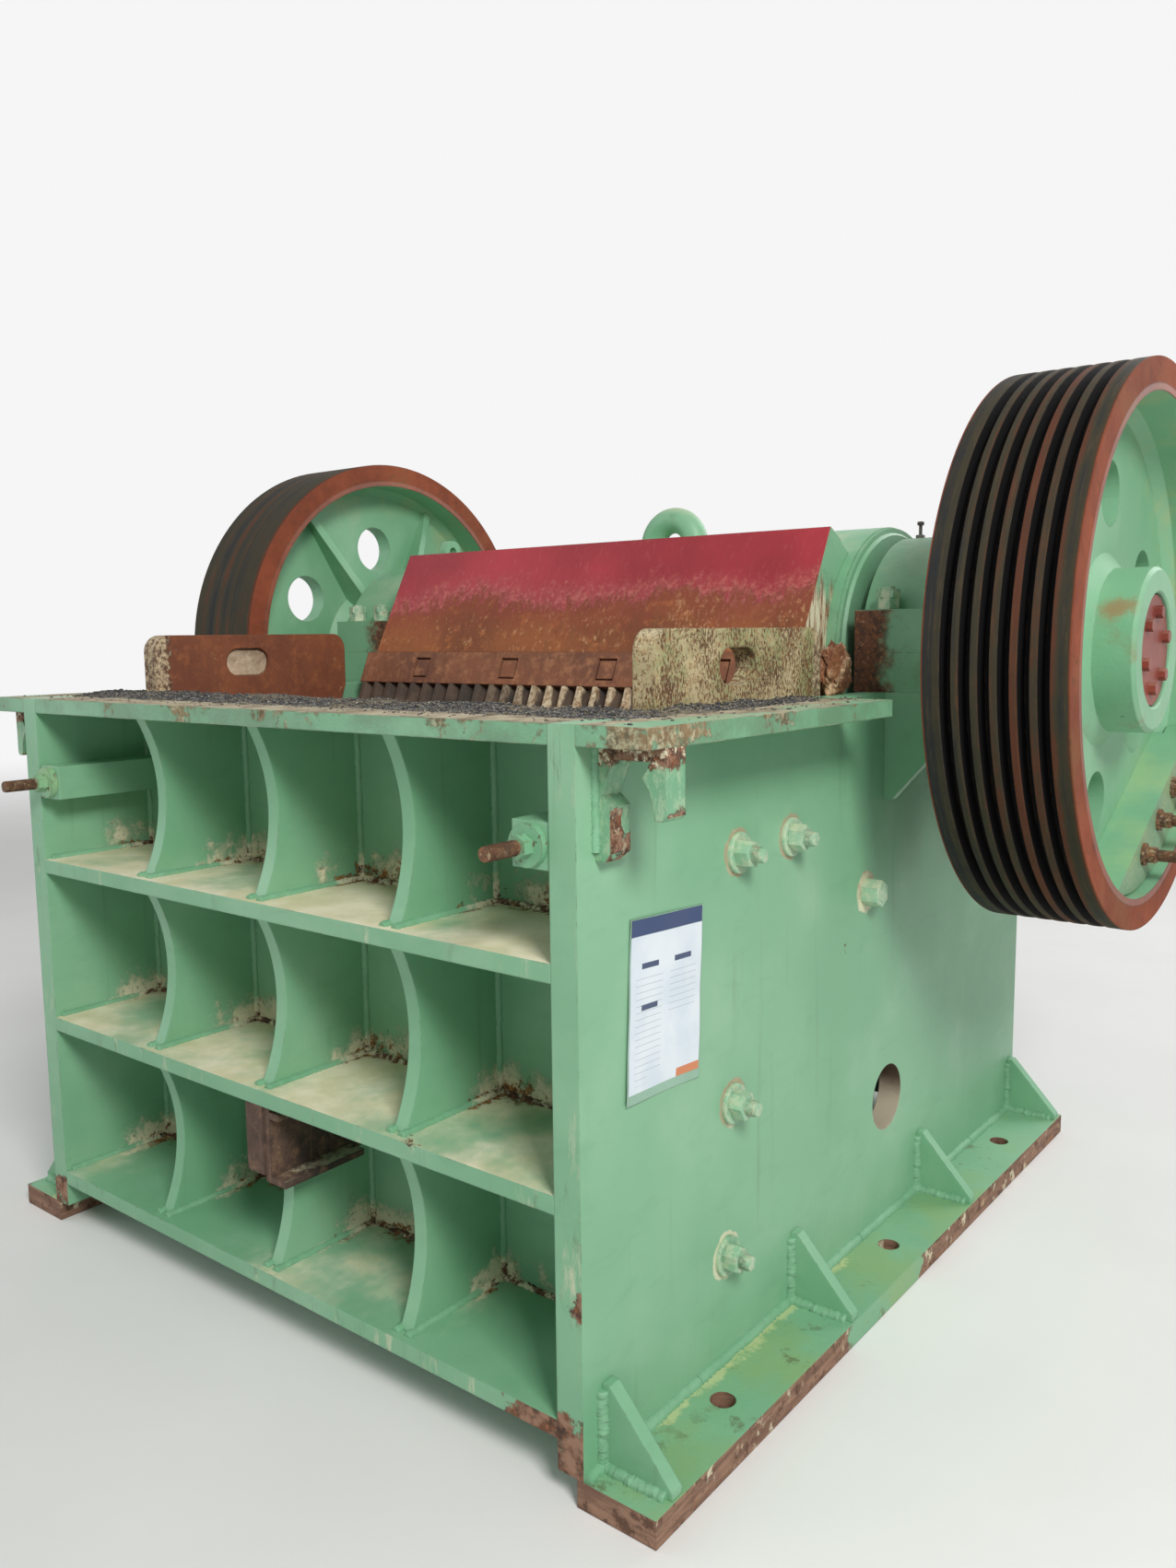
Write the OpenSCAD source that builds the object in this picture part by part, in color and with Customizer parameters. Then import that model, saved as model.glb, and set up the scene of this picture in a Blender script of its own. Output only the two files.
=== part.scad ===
// Wide-mouth single-toggle jaw crusher: welded plate frame, swinging jaw on an
// eccentric shaft, grooved drive pulley on the right and flywheel on the left.
// Millimetres, +Z up, +X towards the pulley, -Y towards the feed-side front.
// The origin lies on the ground at the centre of the outer foundation bolts.

/* [Frame] */
// Width over the two side walls
frame_w = 1680; // [1500:10:1900]
// Depth of the side walls, front edge to rear edge
frame_d = 2030; // [1960:10:2200]
// Thickness of each side wall
wall_t = 55; // [40:1:70]
// Height of the deck's upper face above the ground
deck_z = 1302; // [1260:1:1360]
// Thickness of the deck plates
deck_t = 34; // [20:1:45]
// How far the side deck strips stand out from the side walls
deck_over = 135; // [100:1:160]
// Length of the side deck strips from the front edge
deck_len = 845; // [600:5:900]
// Distance behind the bearing seats at which the side walls slope down to the rear
wall_slope_behind = 57; // [20:1:120]
// Drop of that slope
wall_slope_drop = 300; // [150:5:400]

/* [Feet] */
// Width of each foot plate
foot_w = 159; // [130:1:200]
// Thickness of each foot plate
foot_t = 50; // [30:1:60]
// How far a foot plate reaches in under its side wall
foot_tuck = 14; // [8:1:30]
// Height of the triangular foot gussets
gusset_h = 150; // [100:5:200]
// Thickness of the foot gussets
gusset_t = 28; // [16:1:35]
// Distance of the first gusset from the front edge
gusset_first = 65; // [40:1:100]
// Distance of the last gusset from the rear edge
gusset_last = 36; // [20:1:80]
// Foundation bolt hole radius
bolt_hole_r = 24; // [14:1:26]
// Distance of the first foundation bolt from the front edge
bolt_first = 325; // [250:5:400]
// Distance between foundation bolts along a foot
bolt_pitch = 710; // [650:5:760]
// Distance of the foundation bolts from the side wall
bolt_out = 66; // [50:1:80]

/* [Front and rear cells] */
// Depth of the front cells in front of the wall plate
cell_depth = 285; // [240:5:320]
// Thickness of the front wall plate
front_plate_t = 35; // [25:1:50]
// Depth of the rear cells behind the rear wall plate
rear_cell_depth = 240; // [200:5:280]
// Thickness of the rear wall plate
rear_plate_t = 45; // [30:1:60]
// Height of the rear wall's top edge
rear_top_z = 985; // [955:5:1000]
// Upper faces of the three shelves
shelf_tops = [139, 531, 919];
// Thickness of the shelves
shelf_t = 33; // [20:1:40]
// Thickness of the upright ribs
rib_t = 32; // [20:1:40]
// How far the ends of a rib's curved edge stand back from the front
rib_inset = 27; // [10:1:60]
// Depth of the curve in a rib's free edge
rib_sag = 45; // [20:1:80]
// Number of cells in a row
cells = 4; // [3:1:5]

/* [Clamp bars] */
// Side of the two square clamp bars in the upper outer cells
bar_s = 78; // [50:1:90]
// Height of the clamp bars' centre
bar_z = 1107; // [1050:1:1150]
// Diameter of the clamp studs
stud_d = 24; // [18:1:30]
// How far the studs stand out in front of the frame
stud_out = 106; // [70:1:120]

/* [Crushing chamber] */
// Thickness of the cheek plates
cheek_t = 47; // [30:1:60]
// Height of the cheek plates above the deck
cheek_up = 145; // [100:5:180]
// Front edge of the cheek plates
cheek_front = 290; // [287:1:310]
// Length of the upper part of the cheek plates
cheek_len = 612; // [550:1:640]
// Corner radius of the cheek plates
cheek_r = 42; // [15:1:55]
// Length of the oval lifting hole in a cheek plate
cheek_hole_l = 134; // [90:1:150]
// Height of the oval lifting hole
cheek_hole_h = 72; // [50:1:80]
// Thickness of the toothed jaw plates, teeth included
jaw_t = 90; // [75:1:100]
// Height of the teeth
tooth_h = 24; // [12:1:30]
// Distance between teeth
tooth_pitch = 50; // [40:1:60]
// Width of the gap between the jaw plates at the bottom
jaw_gap = 62; // [50:1:80]
// Lean of the swinging jaw plate from upright, in degrees
jaw_lean = 23; // [21:0.5:24]
// Height of the lower end of the swinging jaw plate
jaw_low_z = 190; // [180:5:240]
// Length of the swinging jaw plate
jaw_len = 1215; // [1180:5:1225]
// Side clearance between the swinging jaw and the cheek plates
jaw_side_gap = 12; // [6:1:20]

/* [Swing jaw head] */
// Distance of the shaft axis from the front edge of the frame
shaft_y = 1410; // [1400:5:1430]
// Height of the shaft axis above the deck
shaft_up = 88; // [83:1:98]
// Outer radius of the head
head_r = 300; // [285:1:305]
// Clearance between the ends of the head and the side walls
head_gap = 73; // [65:1:90]
// Radius of the hollow inside the head
head_bore_r = 150; // [140:1:170]
// Thickness of the cover rings on the ends of the head
cover_t = 17; // [10:1:20]
// Thickness of the guard plate in front of the head
guard_t = 58; // [40:1:70]
// Width of the guard plate
guard_w = 1380; // [1200:10:1390]
// Lean of the guard plate from upright, in degrees
guard_lean = 27; // [25:0.5:30]
// Height of the guard plate measured along its slope
guard_len = 318; // [270:1:330]
// Height of the clamping wedge measured along the jaw's slope
wedge_h = 92; // [70:1:100]

/* [Rotor] */
// Radius of the shaft in the swing jaw's bearings
shaft_r = 110; // [100:1:120]
// Radius of the shaft in the frame's bearings
journal_r = 95; // [80:1:98]
// Radius of the shaft in the wheel hubs
hub_seat_r = 85; // [70:1:90]
// Throw of the eccentric middle length of the shaft
throw = 12; // [6:1:16]
// Outer radius of the wheels
wheel_r = 610; // [560:5:625]
// Width of the wheels
wheel_w = 280; // [250:5:300]
// Thickness of a wheel's rim
rim_t = 68; // [60:1:90]
// Thickness of a wheel's web
web_t = 54; // [40:1:70]
// Radius of the wheel hubs
hub_r = 180; // [150:5:200]
// Gap between the bearing blocks and the wheels
wheel_gap = 42; // [30:1:70]
// Radius of the round holes in the webs
web_hole_r = 72; // [50:1:80]
// Distance of those holes from the axis
web_hole_at = 343; // [330:1:355]
// Number of belt grooves
grooves = 6; // [4:1:6]
// Distance between belt grooves
groove_pitch = 37; // [34:0.5:38]
// Depth of the belt grooves
groove_d = 27; // [18:1:32]
// Width of a belt groove at its mouth
groove_mouth = 23; // [18:0.5:26]
// Width of a belt groove at its floor
groove_floor = 11; // [8:0.5:14]

/* [Bearings] */
// Radius of the round bearing caps
cap_r = 270; // [250:1:280]
// How far the bearing blocks reach in past the side walls' inner faces
block_tuck = 22; // [5:1:30]
// Width of each bearing block
block_w = 245; // [220:1:255]
// Length of the bearing blocks, front to rear
block_len = 606; // [590:2:630]
// Height of the cap's bolting ledges above the shaft axis
ledge_h = 96; // [70:1:110]
// Outer radius of the roller bearings
race_r = 175; // [150:1:190]

/* [Hidden] */

paint = "#7fb98a";
rust = "#6e4a3a";
oxide = "#9b5a48";
crimson = "#94323c";
steel = "#5a5450";
eps = 0.5;
run_gap = 0.05;
seat_gap = 0.3;

wall_out = frame_w / 2;
shaft_z = deck_z + shaft_up;
wall_in = wall_out - wall_t;
origin_y = bolt_first + bolt_pitch;
front_back = cell_depth + front_plate_t;
rear_plate_y = frame_d - rear_cell_depth - rear_plate_t;
under_deck = deck_z - deck_t;
cell_step = 2 * wall_in / cells;
foot_in = wall_out - foot_tuck;
jaw_half = wall_in - cheek_t - jaw_side_gap;
head_w = 2 * (wall_in - head_gap);
block_x0 = wall_in - block_tuck;
block_out = block_x0 + block_w;
wheel_span = 2 * (block_out + wheel_gap);
seat_front = shaft_y - block_len / 2;
seat_back = shaft_y + block_len / 2;

// Places the whole machine so that the bolt pattern's centre is the origin
module placed() {
    translate([0, -origin_y, 0]) children();
}

// A flat shape drawn in the plane of the side walls, y to the right and z up,
// made into a plate from x0 to x0 + t
module side_plate(x0, t) {
    translate([x0, 0, 0]) rotate([90, 0, 90]) linear_extrude(height = t) children();
}

// A box from its lowest corner to its highest corner
module block(low, high) {
    translate(low) cube([high[0] - low[0], high[1] - low[1], high[2] - low[2]]);
}

// The same thing on both sides of the middle plane
module both_sides() {
    children();
    mirror([1, 0, 0]) children();
}

// A round bar along x
module x_bar(x0, x1, r, y = 0, z = 0, sides = 96) {
    translate([x0, y, z]) rotate([0, 90, 0]) cylinder(r = r, h = x1 - x0, $fn = sides);
}

// A round bar along y
module y_bar(y0, y1, r, x = 0, z = 0, sides = 48) {
    translate([x, y0, z]) rotate([-90, 0, 0]) cylinder(r = r, h = y1 - y0, $fn = sides);
}

// Side walls: one thick plate each, with a round hand hole beside the toggle
hole_y = 1157;
hole_z = 347;
hole_r = 77;

module wall_outline() {
    difference() {
        polygon([[0, foot_t], [frame_d, foot_t], [frame_d, deck_z - wall_slope_drop],
            [seat_back + wall_slope_behind, deck_z], [0, deck_z]]);
        translate([hole_y, hole_z]) circle(r = hole_r, $fn = 72);
        translate([shaft_y, shaft_z]) circle(r = bowl_r, $fn = 96);
    }
}

module side_wall_right() {
    color(paint) placed() side_plate(wall_in, wall_t) wall_outline();
}

module side_wall_left() {
    color(paint) placed() side_plate(-wall_out, wall_t) wall_outline();
}

// Foot plates with three foundation bolt holes each
module foot_plate() {
    difference() {
        block([foot_in, 0, 0], [foot_in + foot_w, frame_d, foot_t]);
        for (i = [0:2])
            translate([wall_out + bolt_out, bolt_first + i * bolt_pitch, -eps])
                cylinder(r = bolt_hole_r, h = foot_t + 2 * eps, $fn = 48);
    }
}

module foot_plate_right() {
    color(paint) placed() foot_plate();
}

module foot_plate_left() {
    color(paint) placed() mirror([1, 0, 0]) foot_plate();
}

// Triangular gussets between the feet and the side walls
gussets = 4;
gusset_top = 16;
gusset_toe = 14;
gusset_back = 4;

module foot_gusset(y) {
    reach = foot_w - foot_tuck - gusset_back;
    translate([wall_out, y + gusset_t / 2, foot_t]) rotate([90, 0, 0])
        linear_extrude(height = gusset_t)
            polygon([[0, 0], [reach, 0], [reach, gusset_toe], [gusset_top, gusset_h],
                [0, gusset_h]]);
}

module foot_gussets() {
    pitch = (frame_d - gusset_first - gusset_last) / (gussets - 1);
    color(paint) placed() both_sides()
        for (i = [0:gussets - 1]) foot_gusset(gusset_first + i * pitch);
}

// Front wall plate behind the open cells
module front_wall() {
    color(paint) placed() block([-wall_in, cell_depth, shelf_tops[0] - shelf_t],
        [wall_in, front_back, under_deck]);
}

module shelf_row(y0, y1, tops) {
    for (top = tops) block([-wall_in, y0, top - shelf_t], [wall_in, y1, top]);
}

module front_shelves() {
    color(paint) placed() shelf_row(0, cell_depth, shelf_tops);
}

// One upright rib between two shelves, its free edge cut to a hollow curve.
// depth runs from the wall plate to the line of the shelf edges.
module cell_rib(low, high, depth) {
    height = high - low;
    curve_r = (height * height / 4 + rib_sag * rib_sag) / (2 * rib_sag);
    difference() {
        translate([0, low]) square([depth - rib_inset, height]);
        translate([depth - rib_inset - rib_sag + curve_r, (low + high) / 2])
            circle(r = curve_r, $fn = 180);
    }
}

module rib_bank(depth, levels) {
    for (c = [1:cells - 1], level = levels)
        side_plate(-wall_in + c * cell_step - rib_t / 2, rib_t)
            cell_rib(level[0], level[1], depth);
}

front_levels = [[shelf_tops[0], shelf_tops[1] - shelf_t],
    [shelf_tops[1], shelf_tops[2] - shelf_t], [shelf_tops[2], under_deck]];
rear_levels = [[shelf_tops[0], shelf_tops[1] - shelf_t],
    [shelf_tops[1], shelf_tops[2] - shelf_t]];

module front_ribs() {
    color(paint) placed() translate([0, cell_depth, 0]) mirror([0, 1, 0])
        rib_bank(cell_depth, front_levels);
}

// Deck over the front cells, and the strips that stand out at each side
module deck_front() {
    color(paint) placed() block([-wall_in, 0, under_deck], [wall_in, front_back, deck_z]);
}

module deck_sides() {
    color(paint) placed() both_sides()
        block([wall_out, 0, under_deck], [wall_out + deck_over, deck_len, deck_z]);
}

// Flame-cut lifting hooks under the front corners of the side deck strips:
// an upright plate with a hollow between a short leg on the wall and an outer leg
hook_y0 = 48;
hook_t = 53;
hook_leg = 112;
hook_wall_leg = 185;

module lifting_hook() {
    x1 = deck_over;
    translate([wall_out, hook_y0 + hook_t, under_deck]) rotate([90, 0, 0])
        linear_extrude(height = hook_t)
            polygon([[0, 0], [x1, 0], [x1, -hook_leg + 6], [x1 - 6, -hook_leg],
                [x1 - 20, -hook_leg], [x1 - 30, -hook_leg * 0.62], [x1 - 44, -hook_leg * 0.42],
                [x1 - 28, -22], [34, -22], [12, -hook_leg * 0.72], [30, -hook_leg * 0.86],
                [30, -hook_wall_leg + 14], [20, -hook_wall_leg], [0, -hook_wall_leg]]);
}

module lifting_hooks() {
    color(paint) placed() both_sides() lifting_hook();
}

// Square clamp bars in the upper outer cells
bar_gap = 1;
bar_front = 3;
stud_end_gap = 60;

module clamp_bars() {
    color(paint) placed() both_sides() difference() {
        block([wall_in - bar_s - bar_gap, bar_front, bar_z - bar_s / 2],
            [wall_in - bar_gap, cell_depth, bar_z + bar_s / 2]);
        y_bar(0, cell_depth - stud_end_gap, stud_d / 2, wall_in - bar_gap - bar_s / 2, bar_z);
    }
}

// Threaded studs that stand out of the clamp bars, each with a washer and a nut
washer_r = 36;
washer_t = 14;
stud_nut_r = 20;
stud_nut_h = 22;

module clamp_studs() {
    x = wall_in - bar_gap - bar_s / 2;
    washer_y = bar_front - washer_t;
    color(rust) placed() both_sides() {
        y_bar(-stud_out, cell_depth - stud_end_gap, stud_d / 2, x, bar_z);
        difference() {
            union() {
                y_bar(washer_y, bar_front, washer_r, x, bar_z);
                translate([x, washer_y - stud_nut_h, bar_z]) rotate([-90, 30, 0])
                    cylinder(r = stud_nut_r, h = stud_nut_h, $fn = 6);
            }
            y_bar(washer_y - stud_nut_h - 1, bar_front + 1, stud_d / 2 - eps, x, bar_z);
        }
    }
}

// Cut-off stub of a channel bracket in the lower row of cells
stub_x0 = -38;
stub_x1 = 78;
stub_web = 34;
stub_low = 338;
stub_lengths = [210, 150];

module stub_bracket() {
    top = shelf_tops[1] - shelf_t;
    rib_edge = rib_inset + rib_sag;
    color(rust) placed() {
        block([rib_t / 2, 4, stub_low], [stub_web, cell_depth, top]);
        block([stub_web, 4, stub_low], [stub_x1, stub_lengths[0], stub_low + 14]);
        block([stub_web, 4, top - 24], [stub_x1 - 18, stub_lengths[1], top - 10]);
        block([stub_x0, 0, stub_low + 14], [rib_t / 2, 20, top]);
    }
}

// Rear wall with cells that face the back
module rear_wall() {
    color(paint) placed() difference() {
        block([-wall_in, rear_plate_y, shelf_tops[0] - shelf_t],
            [wall_in, rear_plate_y + rear_plate_t, rear_top_z]);
        for (s = [-1, 1])
            y_bar(rear_plate_y - 1, rear_plate_y + rear_plate_t + 1, rod_hole_r, s * rod_x, rod_z);
    }
}

module rear_shelves() {
    color(paint) placed()
        shelf_row(rear_plate_y + rear_plate_t, frame_d, shelf_tops);
}

module rear_ribs() {
    color(paint) placed() translate([0, rear_plate_y + rear_plate_t, 0])
        rib_bank(rear_cell_depth, rear_levels);
}

// Toggle plate between the rear wall's seat and the seat under the swing jaw
toggle_r = 30;
toggle_w = 1080;
toggle_front = [850, 312];
toggle_stand = 145;
toggle_back = [rear_plate_y - toggle_stand, 420];
toggle_waist = 40;
toggle_nose = 5;
toggle_nose_h = 140;
toggle_foot_h = 260;

module toggle_outline() {
    run = toggle_back[0] - toggle_front[0];
    rise = toggle_back[1] - toggle_front[1];
    translate(toggle_front) rotate(atan2(rise, run)) {
        circle(r = toggle_r, $fn = 48);
        translate([norm([run, rise]), 0]) circle(r = toggle_r, $fn = 48);
        translate([0, -toggle_waist / 2]) square([norm([run, rise]), toggle_waist]);
    }
}

module toggle_plate() {
    color(steel) placed() side_plate(-toggle_w / 2, toggle_w) toggle_outline();
}

module toggle_seat() {
    color(paint) placed() side_plate(-wall_in, 2 * wall_in) difference() {
        polygon([for (p = [[toggle_back[0] + toggle_nose, -toggle_nose_h / 2],
            [rear_plate_y, -toggle_foot_h / 2], [rear_plate_y, toggle_foot_h / 2],
            [toggle_back[0] + toggle_nose, toggle_nose_h / 2]]) [p[0], toggle_back[1] + p[1]]]);
        translate(toggle_back) circle(r = toggle_r + seat_gap, $fn = 48);
    }
}

// Seat plates and gussets that carry the bearing blocks beside the side walls
seat_t = 50;
seat_rib_t = 25;
seat_rib_h = 190;
seat_rib_toe = 20;

module bearing_seats() {
    reach = block_out - wall_out;
    color(paint) placed() both_sides() difference() {
        union() {
            block([wall_out, seat_front, deck_z - seat_t], [block_out, seat_back, deck_z]);
            for (y = [seat_front, seat_back - seat_rib_t])
                translate([wall_out, y + seat_rib_t, deck_z - seat_t]) rotate([90, 0, 0])
                    linear_extrude(height = seat_rib_t)
                        polygon([[0, 0], [reach, 0], [reach, -seat_rib_toe],
                            [seat_rib_toe, -seat_rib_h], [0, -seat_rib_h]]);
        }
        bowl_cut();
    }
}

// Bearing blocks below the split line, each with a round bowl that reaches down
// through the deck plate and the side wall, and round caps above the split line
bowl_r = 225;

module bowl_cut() {
    x_bar(block_x0 - 2, block_out + 2, bowl_r, shaft_y, shaft_z);
}

module bearing_block() {
    difference() {
        union() {
            block([block_x0, seat_front, deck_z], [block_out, seat_back, shaft_z]);
            difference() {
                x_bar(block_x0, block_out, bowl_r, shaft_y, shaft_z);
                block([block_x0 - 1, shaft_y - bowl_r - 1, shaft_z],
                    [block_out + 1, shaft_y + bowl_r + 1, shaft_z + bowl_r + 1]);
            }
        }
        x_bar(block_x0 - 1, block_out + 1, race_r, shaft_y, shaft_z);
    }
}

module bearing_blocks() {
    color(paint) placed() both_sides() bearing_block();
}

module bearing_cap() {
    difference() {
        union() {
            block([block_x0, seat_front, shaft_z], [block_out, seat_back,
                shaft_z + ledge_h]);
            x_bar(block_x0, block_out, cap_r, shaft_y, shaft_z);
        }
        x_bar(block_x0 - 1, block_out + 1, race_r, shaft_y, shaft_z);
        block([block_x0 - 1, shaft_y - cap_r - 1, shaft_z - cap_r - 1],
            [block_out + 1, shaft_y + cap_r + 1, shaft_z]);
    }
}

module bearing_caps() {
    color(paint) placed() both_sides() bearing_cap();
}

module bearing_rings() {
    color(steel) placed() both_sides() difference() {
        x_bar(block_x0, block_out, race_r, shaft_y, shaft_z);
        x_bar(block_x0 - 1, block_out + 1, journal_r + run_gap, shaft_y, shaft_z);
    }
}

// Nut and jam nut on short stud ends, two on each ledge of each cap
nut_r = 26;
nut_h = 25;
jam_nut_h = 19;
jam_nut_turn = 17;
cap_stud_d = 30;
cap_stud_h = 6;
bolt_row = 55;
bolt_edge = 27;

module cap_bolts() {
    color(paint) placed() both_sides()
        for (x = [-bolt_row, bolt_row], y = [seat_front + bolt_edge, seat_back - bolt_edge])
            translate([block_x0 + block_w / 2 + x, y, shaft_z + ledge_h]) {
                cylinder(r = nut_r, h = nut_h, $fn = 6);
                translate([0, 0, nut_h]) rotate(jam_nut_turn)
                    cylinder(r = nut_r, h = jam_nut_h, $fn = 6);
                cylinder(d = cap_stud_d, h = nut_h + jam_nut_h + cap_stud_h, $fn = 32);
            }
}

// Cheek plates: liners of the side walls, taller than the deck, with an oval hole
cheek_low_z = 260;
cheek_hole_from_front = 278;

module cheek_outline() {
    top = deck_z + cheek_up;
    back = cheek_front + cheek_len;
    face_back = front_back + jaw_t + 4;
    low_back = face_back + jaw_gap + (cheek_low_z - jaw_low_z) * tan(jaw_lean);
    difference() {
        union() {
            translate([cheek_front, deck_z]) square([cheek_len, cheek_up - cheek_r]);
            translate([cheek_front + cheek_r, deck_z])
                square([cheek_len - 2 * cheek_r, cheek_up]);
            for (y = [cheek_front + cheek_r, back - cheek_r])
                translate([y, top - cheek_r]) circle(r = cheek_r, $fn = 64);
            polygon([[face_back, cheek_low_z], [low_back, cheek_low_z],
                [back, deck_z], [face_back, deck_z]]);
        }
        for (s = [-1, 1])
            translate([cheek_front + cheek_hole_from_front
                + s * (cheek_hole_l - cheek_hole_h) / 2, deck_z + cheek_up / 2])
                circle(d = cheek_hole_h, $fn = 48);
        translate([cheek_front + cheek_hole_from_front - (cheek_hole_l - cheek_hole_h) / 2,
            deck_z + (cheek_up - cheek_hole_h) / 2])
            square([cheek_hole_l - cheek_hole_h, cheek_hole_h]);
    }
}

module cheek_plate_right() {
    color(rust) placed() side_plate(wall_in - cheek_t, cheek_t) cheek_outline();
}

module cheek_plate_left() {
    color(rust) placed() side_plate(-wall_in, cheek_t) cheek_outline();
}

// Cross-section of a toothed jaw plate: back at y = 0, tooth crests at y = jaw_t
module toothed_section(half) {
    count = floor(2 * half / tooth_pitch);
    start = -count * tooth_pitch / 2;
    land = tooth_pitch * 0.28;
    slope = tooth_pitch * 0.22;
    root = jaw_t - tooth_h;
    crests = [for (i = [0:count - 1], p = [[0, root], [slope, jaw_t],
        [slope + land, jaw_t], [2 * slope + land, root]]) [start + i * tooth_pitch + p[0], p[1]]];
    polygon(concat([[-half, 0], [-half, root]], crests, [[half, root], [half, 0]]));
}

// Fixed jaw plate, upright against the front wall
fixed_jaw_below = 12;
fixed_jaw_gap = 2;

module fixed_jaw_plate() {
    color(steel) placed() translate([0, front_back, jaw_low_z])
        linear_extrude(height = deck_z - fixed_jaw_below - jaw_low_z)
            toothed_section(wall_in - fixed_jaw_gap);
}

// Everything on the swinging jaw's sloping face: u runs up the slope and v out of it,
// towards the fixed jaw, from the plane of the tooth crests
module on_jaw_face() {
    translate([0, front_back + jaw_t + jaw_gap, jaw_low_z]) rotate([-jaw_lean, 0, 0])
        children();
}

module swing_jaw_plate() {
    color(steel) placed() on_jaw_face() mirror([0, 1, 0]) translate([0, -jaw_t, 0])
        linear_extrude(height = jaw_len) toothed_section(jaw_half);
}

// Point on the back plane of the swinging jaw plate, at a distance up the slope
function jaw_back(u, v = 0) = [
    front_back + jaw_t + jaw_gap + (jaw_t + seat_gap + v) * cos(jaw_lean) + u * sin(jaw_lean),
    jaw_low_z - (jaw_t + seat_gap + v) * sin(jaw_lean) + u * cos(jaw_lean)];

jaw_skin = 60;
jaw_rib_t = 46;
jaw_rib_x = 330;
jaw_top_u = jaw_len + wedge_h;
jaw_toe = [90, 5];
toggle_pad = 45;
toggle_pad_low = 70;
toggle_pad_high = 85;
jaw_back_low = [60, 248];
jaw_pad_depth = 110;
jaw_pad_low = 60;
jaw_pad_high = [70, 95];
jaw_pad_gap = 12;
toggle_swing_gap = 14;
toggle_end_gap = 10;

module jaw_rib_outline() {
    low = jaw_back(0);
    high = jaw_back(jaw_top_u);
    difference() {
        polygon([low, low + jaw_toe, toggle_front - [toggle_pad, toggle_pad_low],
            toggle_front + [-toggle_pad, toggle_pad_high], toggle_front + jaw_back_low,
            [shaft_y, shaft_z - head_r * 0.9], [shaft_y, high[1]], high]);
        translate([shaft_y, shaft_z]) circle(r = head_bore_r, $fn = 72);
        translate(toggle_front) circle(r = toggle_r + toggle_swing_gap, $fn = 48);
    }
}

module jaw_skin_outline() {
    polygon([jaw_back(0), jaw_back(0, jaw_skin), jaw_back(jaw_top_u, jaw_skin),
        jaw_back(jaw_top_u)]);
}

module jaw_toggle_seat() {
    difference() {
        polygon([toggle_front - [jaw_pad_depth, jaw_pad_low],
            toggle_front - [jaw_pad_gap, jaw_pad_low],
            toggle_front + [-jaw_pad_gap, jaw_pad_high[0]],
            toggle_front + [-jaw_pad_depth, jaw_pad_high[1]]]);
        translate(toggle_front) circle(r = toggle_r + seat_gap, $fn = 48);
    }
}

// Cast swing jaw: round head, sloping face with ribs behind it, toggle seat below
module swing_jaw_body() {
    color(paint) placed() difference() {
        union() {
            side_plate(-jaw_half, 2 * jaw_half) jaw_skin_outline();
            for (x = [-jaw_half, -jaw_rib_x - jaw_rib_t / 2, jaw_rib_x - jaw_rib_t / 2,
                jaw_half - jaw_rib_t])
                side_plate(x, jaw_rib_t) jaw_rib_outline();
            side_plate(-toggle_w / 2 - toggle_end_gap, toggle_w + 2 * toggle_end_gap)
                jaw_toggle_seat();
            for (s = [-1, 1], x = [rod_r + lug_gap, -rod_r - lug_gap - lug_t])
                side_plate(s * rod_x + x, lug_t) lug_outline();
            x_bar(-head_w / 2, head_w / 2, head_r, shaft_y, shaft_z, 120);
        }
        x_bar(-head_w / 2 - 1, head_w / 2 + 1, head_bore_r, shaft_y, shaft_z);
        for (s = [-1, 1])
            x_bar(s > 0 ? head_w / 2 : -jaw_half - 1, s > 0 ? jaw_half + 1 : -head_w / 2,
                head_r + 1, shaft_y, shaft_z, 120);
    }
}

// Wedge bar that clamps the jaw plate, with square bolt heads sunk in pockets
wedge_bolts = 4;
wedge_bolt_pitch = 326;
wedge_bolt_s = 48;
pocket_gap = 5;
pocket_d = 16;

module wedge_square(side, depth) {
    for (i = [0:wedge_bolts - 1])
        translate([(i - (wedge_bolts - 1) / 2) * wedge_bolt_pitch - side / 2, 0,
            jaw_len + (wedge_h - side) / 2])
            translate([0, depth[0], 0]) cube([side, depth[1] - depth[0], side]);
}

module jaw_wedge() {
    color(rust) placed() on_jaw_face() {
        difference() {
            translate([-jaw_half, 0, jaw_len + seat_gap])
                cube([2 * jaw_half, jaw_t, wedge_h - seat_gap]);
            wedge_square(wedge_bolt_s + 2 * pocket_gap, [-1, pocket_d]);
        }
        wedge_square(wedge_bolt_s, [2, pocket_d + eps]);
    }
}

// Guard plate that leans over the wedge in front of the head, on four brackets
bracket_t = 40;
bracket_ear = [110, -70];
bracket_gap = 6;
bracket_sink = 40;
guard_heel = 20;

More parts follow.
